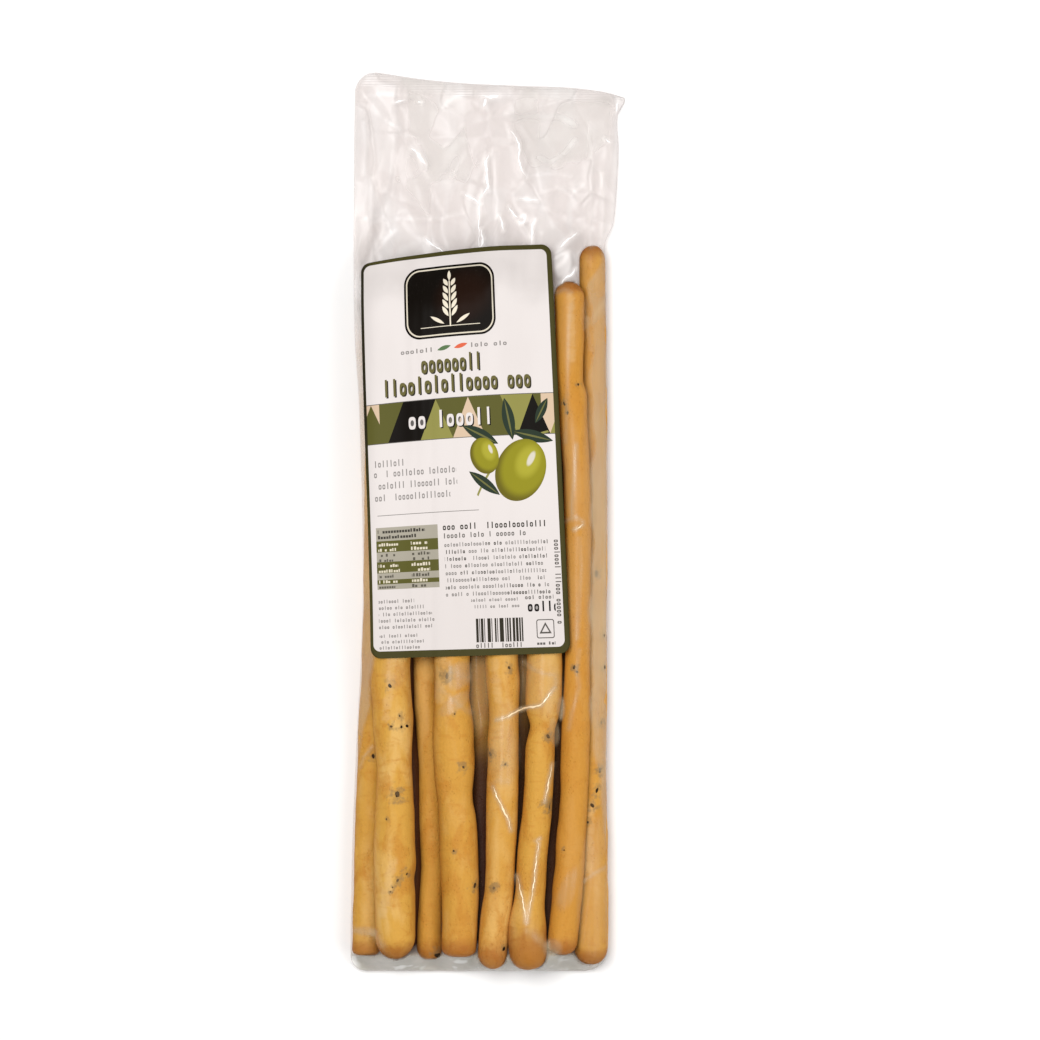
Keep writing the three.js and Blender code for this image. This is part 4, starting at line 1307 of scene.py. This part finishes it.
def printFoot(ink):
    lay, box, words = ink.lay, ink.box, ink.words
    lay(box(4.5, 61.2, 50, 61.5), "grey", 0.8)
    # small table
    lay(box(3.6, 29.5, 31.2, 56.2), "panel")
    for low, high in ((45.6, 50.4), (36.6, 41.4), (31.8, 33.7)):
        lay(box(3.6, low, 31.2, high), "olive")
    lay(words(4.4, 51, 26, 55.8, 2, 1.25, 21, 0.6, 0.3), "dark", 0.9)
    names = words(4.4, 29.7, 16, 50.2, 9, 1.1, 22, 0.55, 0.5)
    names = names.most(words(19, 29.7, 27.5, 50.2, 9, 1.3, 23, 0.6, 0.2))
    onOlive = box(3, 45.6, 32, 50.4).most(box(3, 36.6, 32, 41.4)).most(box(3, 31.8, 32, 33.7))
    lay(names * onOlive, "cream", 0.85)
    lay(names * (1 - onOlive), "shadow", 0.8)
    # headings and small text
    lay(words(33.5, 53, 80.5, 57, 1, 1.95, 31, 0.66, 0, 0.8), "shadow")
    lay(words(33.5, 49.6, 71, 52.9, 1, 1.7, 32, 0.66, 0, 0.8), "shadow", 0.85)
    small = words(33.9, 25, 81.4, 49, 8, 1.3, 37, 0.56, 0.08, 0.7)
    heavy = ink.paint.noise(ink.uv, 130, 1) > 0.56
    lay(small, "grey", 0.85)
    lay(small * heavy, "shadow", 0.9)
    lay(words(3.9, 12.2, 30, 26, 5, 1.2, 41, 0.55, 0.5, 0.6), "grey", 0.85)
    lay(words(4, 3.4, 36, 11, 3, 1.2, 43, 0.55, 0.5, 0.6), "grey", 0.85)
    lay(words(45, 19.6, 67.5, 25.2, 2, 1.2, 47, 0.5, 0.1, 0.6), "grey", 0.85)
    lay(words(69, 22.8, 81.6, 25.6, 1, 1.5, 48, 0.6, 0, 0.7), "grey")
    lay(words(70, 17.2, 82.4, 23.2, 1, 2.9, 56, 0.72, 0, 0.5, 0.03), "dark")
    height = label["printHeight"]
    ink.u, ink.v = height - ink.v, ink.u
    lay(words(124.2, 82.4, 160, 86.4, 1, 1.55, 71, 0.62, 0, 0.7), "shadow", 0.9)
    ink.u, ink.v = ink.v, height - ink.u
    # bars, and a square with a triangle
    place = (ink.u / 0.36).floor() + 0.5
    stroke = ink.paint.node("TexWhiteNoise", {"W": place}, noise_dimensions="1D")["Value"]
    lay(box(46.5, 5.6, 67.6, 15.6) * (stroke > 0.45), "shadow")
    lay(words(45, 2.9, 67.6, 5.6, 1, 1.6, 59, 0.75, 0, 0.8), "shadow", 0.9)
    lay(box(73.5, 6.6, 81.4, 14.6, 1.0) * (1 - box(73.9, 7.0, 81.0, 14.2, 0.7)), "shadow", 0.9)
    slant = abs(ink.u - 77.45) * 1.75 + ink.v
    triangle = (slant < 13.4) * (ink.v > 8.6)
    lay(triangle * (1 - (slant < 12.1) * (ink.v > 9.3)), "shadow", 0.9)
    lay(words(73.5, 3.6, 81.6, 6.2, 1, 1.3, 73, 0.5, 0), "grey")


def makeLabelPrint(zone, draw):
    paint = Paint("label_print_" + zone)
    ink = Print(paint)
    width, height = label["printWidth"], label["printHeight"]
    draw(ink)
    # border band, darker along the left
    edge = 1 - ink.box(1.3, 2.9, width - 2.3, height - 1.9, 3.0)
    ink.lay(edge, "border")
    ink.lay(edge * ink.u.ease(6, 0) * ink.v.ease(40, 110), "dark", 0.75)
    ripple = paint.noise(paint.moved(paint.place(), scale=(1, 0.3, 1)), 60, 2, 0.5)
    speck = paint.noise(paint.place(), 1500, 2, 0.5)
    # painted shade: the paper darker towards the foot and in soft streaks with the ripples
    paintedShade = ripple.ease(0.4, 0.7) * 0.5 + ink.v.ease(75, 10) * 0.95
    color = paint.blend(ink.color, (0.94, 0.935, 0.93), paintedShade.clip(), "MULTIPLY")
    return paint.finish(paint.surface(color, 0.5 + speck * 0.08, 0.07, paint.bump(ripple, 0.4, 0.0012)))


# where each zone of the print starts, from the label's foot: three materials keep each one small
labelZones = [(0, "foot", printFoot), (62.5, "middle", printMiddle), (110.1, "head", printHead)]


def makeLabelPiece():
    corner = label["cornerRadius"] / (label["topLeft"][1] - label["bottomLeft"][1])
    ends = corner * (1 - np.cos(np.linspace(0, math.pi / 2, 9)))
    v = np.concatenate([ends, np.linspace(corner, 1 - corner, label["along"])[1:-1], 1 - ends[::-1]])
    for low, _, _ in labelZones[1:]:
        share = low / label["printHeight"]
        v[np.argmin(np.abs(v - share))] = share
    uu, vv = np.meshgrid(np.linspace(0, 1, label["across"] + 1), v)
    x, y, printU = labelPlace(uu, vv)
    z = labelHeight(x, y)
    lows = [low for low, _, _ in labelZones]
    height = np.tile(vv.ravel(), 2) * label["printHeight"]

    def zoneOf(face):
        return np.searchsorted(lows, height[face].mean(), side="right") - 1

    materials = [makeLabelPrint(zone, draw) for _, zone, draw in labelZones]
    upper = np.stack([x, y, z + label["thickness"]], -1)
    piece = closedSheet("paper_label", upper, np.stack([x, y, z], -1), 1, materials, zoneOf)
    layer = piece.data.uv_layers.new(name="print")
    uv = np.stack([printU * label["printWidth"] * mm, vv * label["printHeight"] * mm], -1).reshape(-1, 2)
    corners = np.empty(len(piece.data.loops), np.int32)
    piece.data.loops.foreach_get("vertex_index", corners)
    layer.data.foreach_set("uv", np.tile(uv, (2, 1))[corners].ravel().astype(np.float32))
    return piece


labelPiece = makeLabelPiece()
print("label printed")

# floor and light

studio = {
    "floor": (0.9, 0.895, 0.89), "halfFloor": 3000, "ambient": 0.33,
    "soft": [
        {"place": (-260, 200, 1250), "size": (700, 700), "watts": 14},
        {"place": (800, -350, 900), "size": (600, 800), "watts": 6},
    ],
}


def makeStudio():
    paint = Paint("studio_floor")
    mottle = paint.noise(paint.place(), 3, 2)
    color = paint.blend(studio["floor"], (0.88, 0.875, 0.87), mottle * 0.2)
    half, low = studio["halfFloor"], -0.2
    corners = [(-half, -half, low), (half, -half, low), (half, half, low), (-half, half, low)]
    material = paint.finish(paint.surface(color, 0.9, 0.5))
    floor = meshObject("floor", corners, [(0, 1, 2, 3)], [material])
    world = bpy.data.worlds.new("studio")
    scene.world = world
    world.use_nodes = True
    light = world.node_tree.nodes["Background"].inputs
    light["Color"].default_value = (1, 0.99, 0.98, 1)
    light["Strength"].default_value = studio["ambient"]
    for i, soft in enumerate(studio["soft"]):
        data = bpy.data.lights.new(f"soft_{i}", "AREA")
        data.shape = "RECTANGLE"
        data.size, data.size_y = soft["size"][0] * mm, soft["size"][1] * mm
        data.energy = soft["watts"]
        lamp = linked(f"soft_{i}", data)
        lamp.location = [part * mm for part in soft["place"]]
        aim = -lamp.location
        lamp.rotation_euler = aim.to_track_quat("-Z", "Y").to_euler()
    scene.view_settings.view_transform = "Standard"


makeStudio()
print("studio lit")

# what rides and what stands for what

for name, piece in stickPieces.items():
    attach(piece, "root")
    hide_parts("bag")
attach(olives, "root")
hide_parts("bag")
for piece in (filmPiece, glintPiece):
    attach(piece, "root")
    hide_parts("bag")
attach(labelPiece, "root")
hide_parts("label")
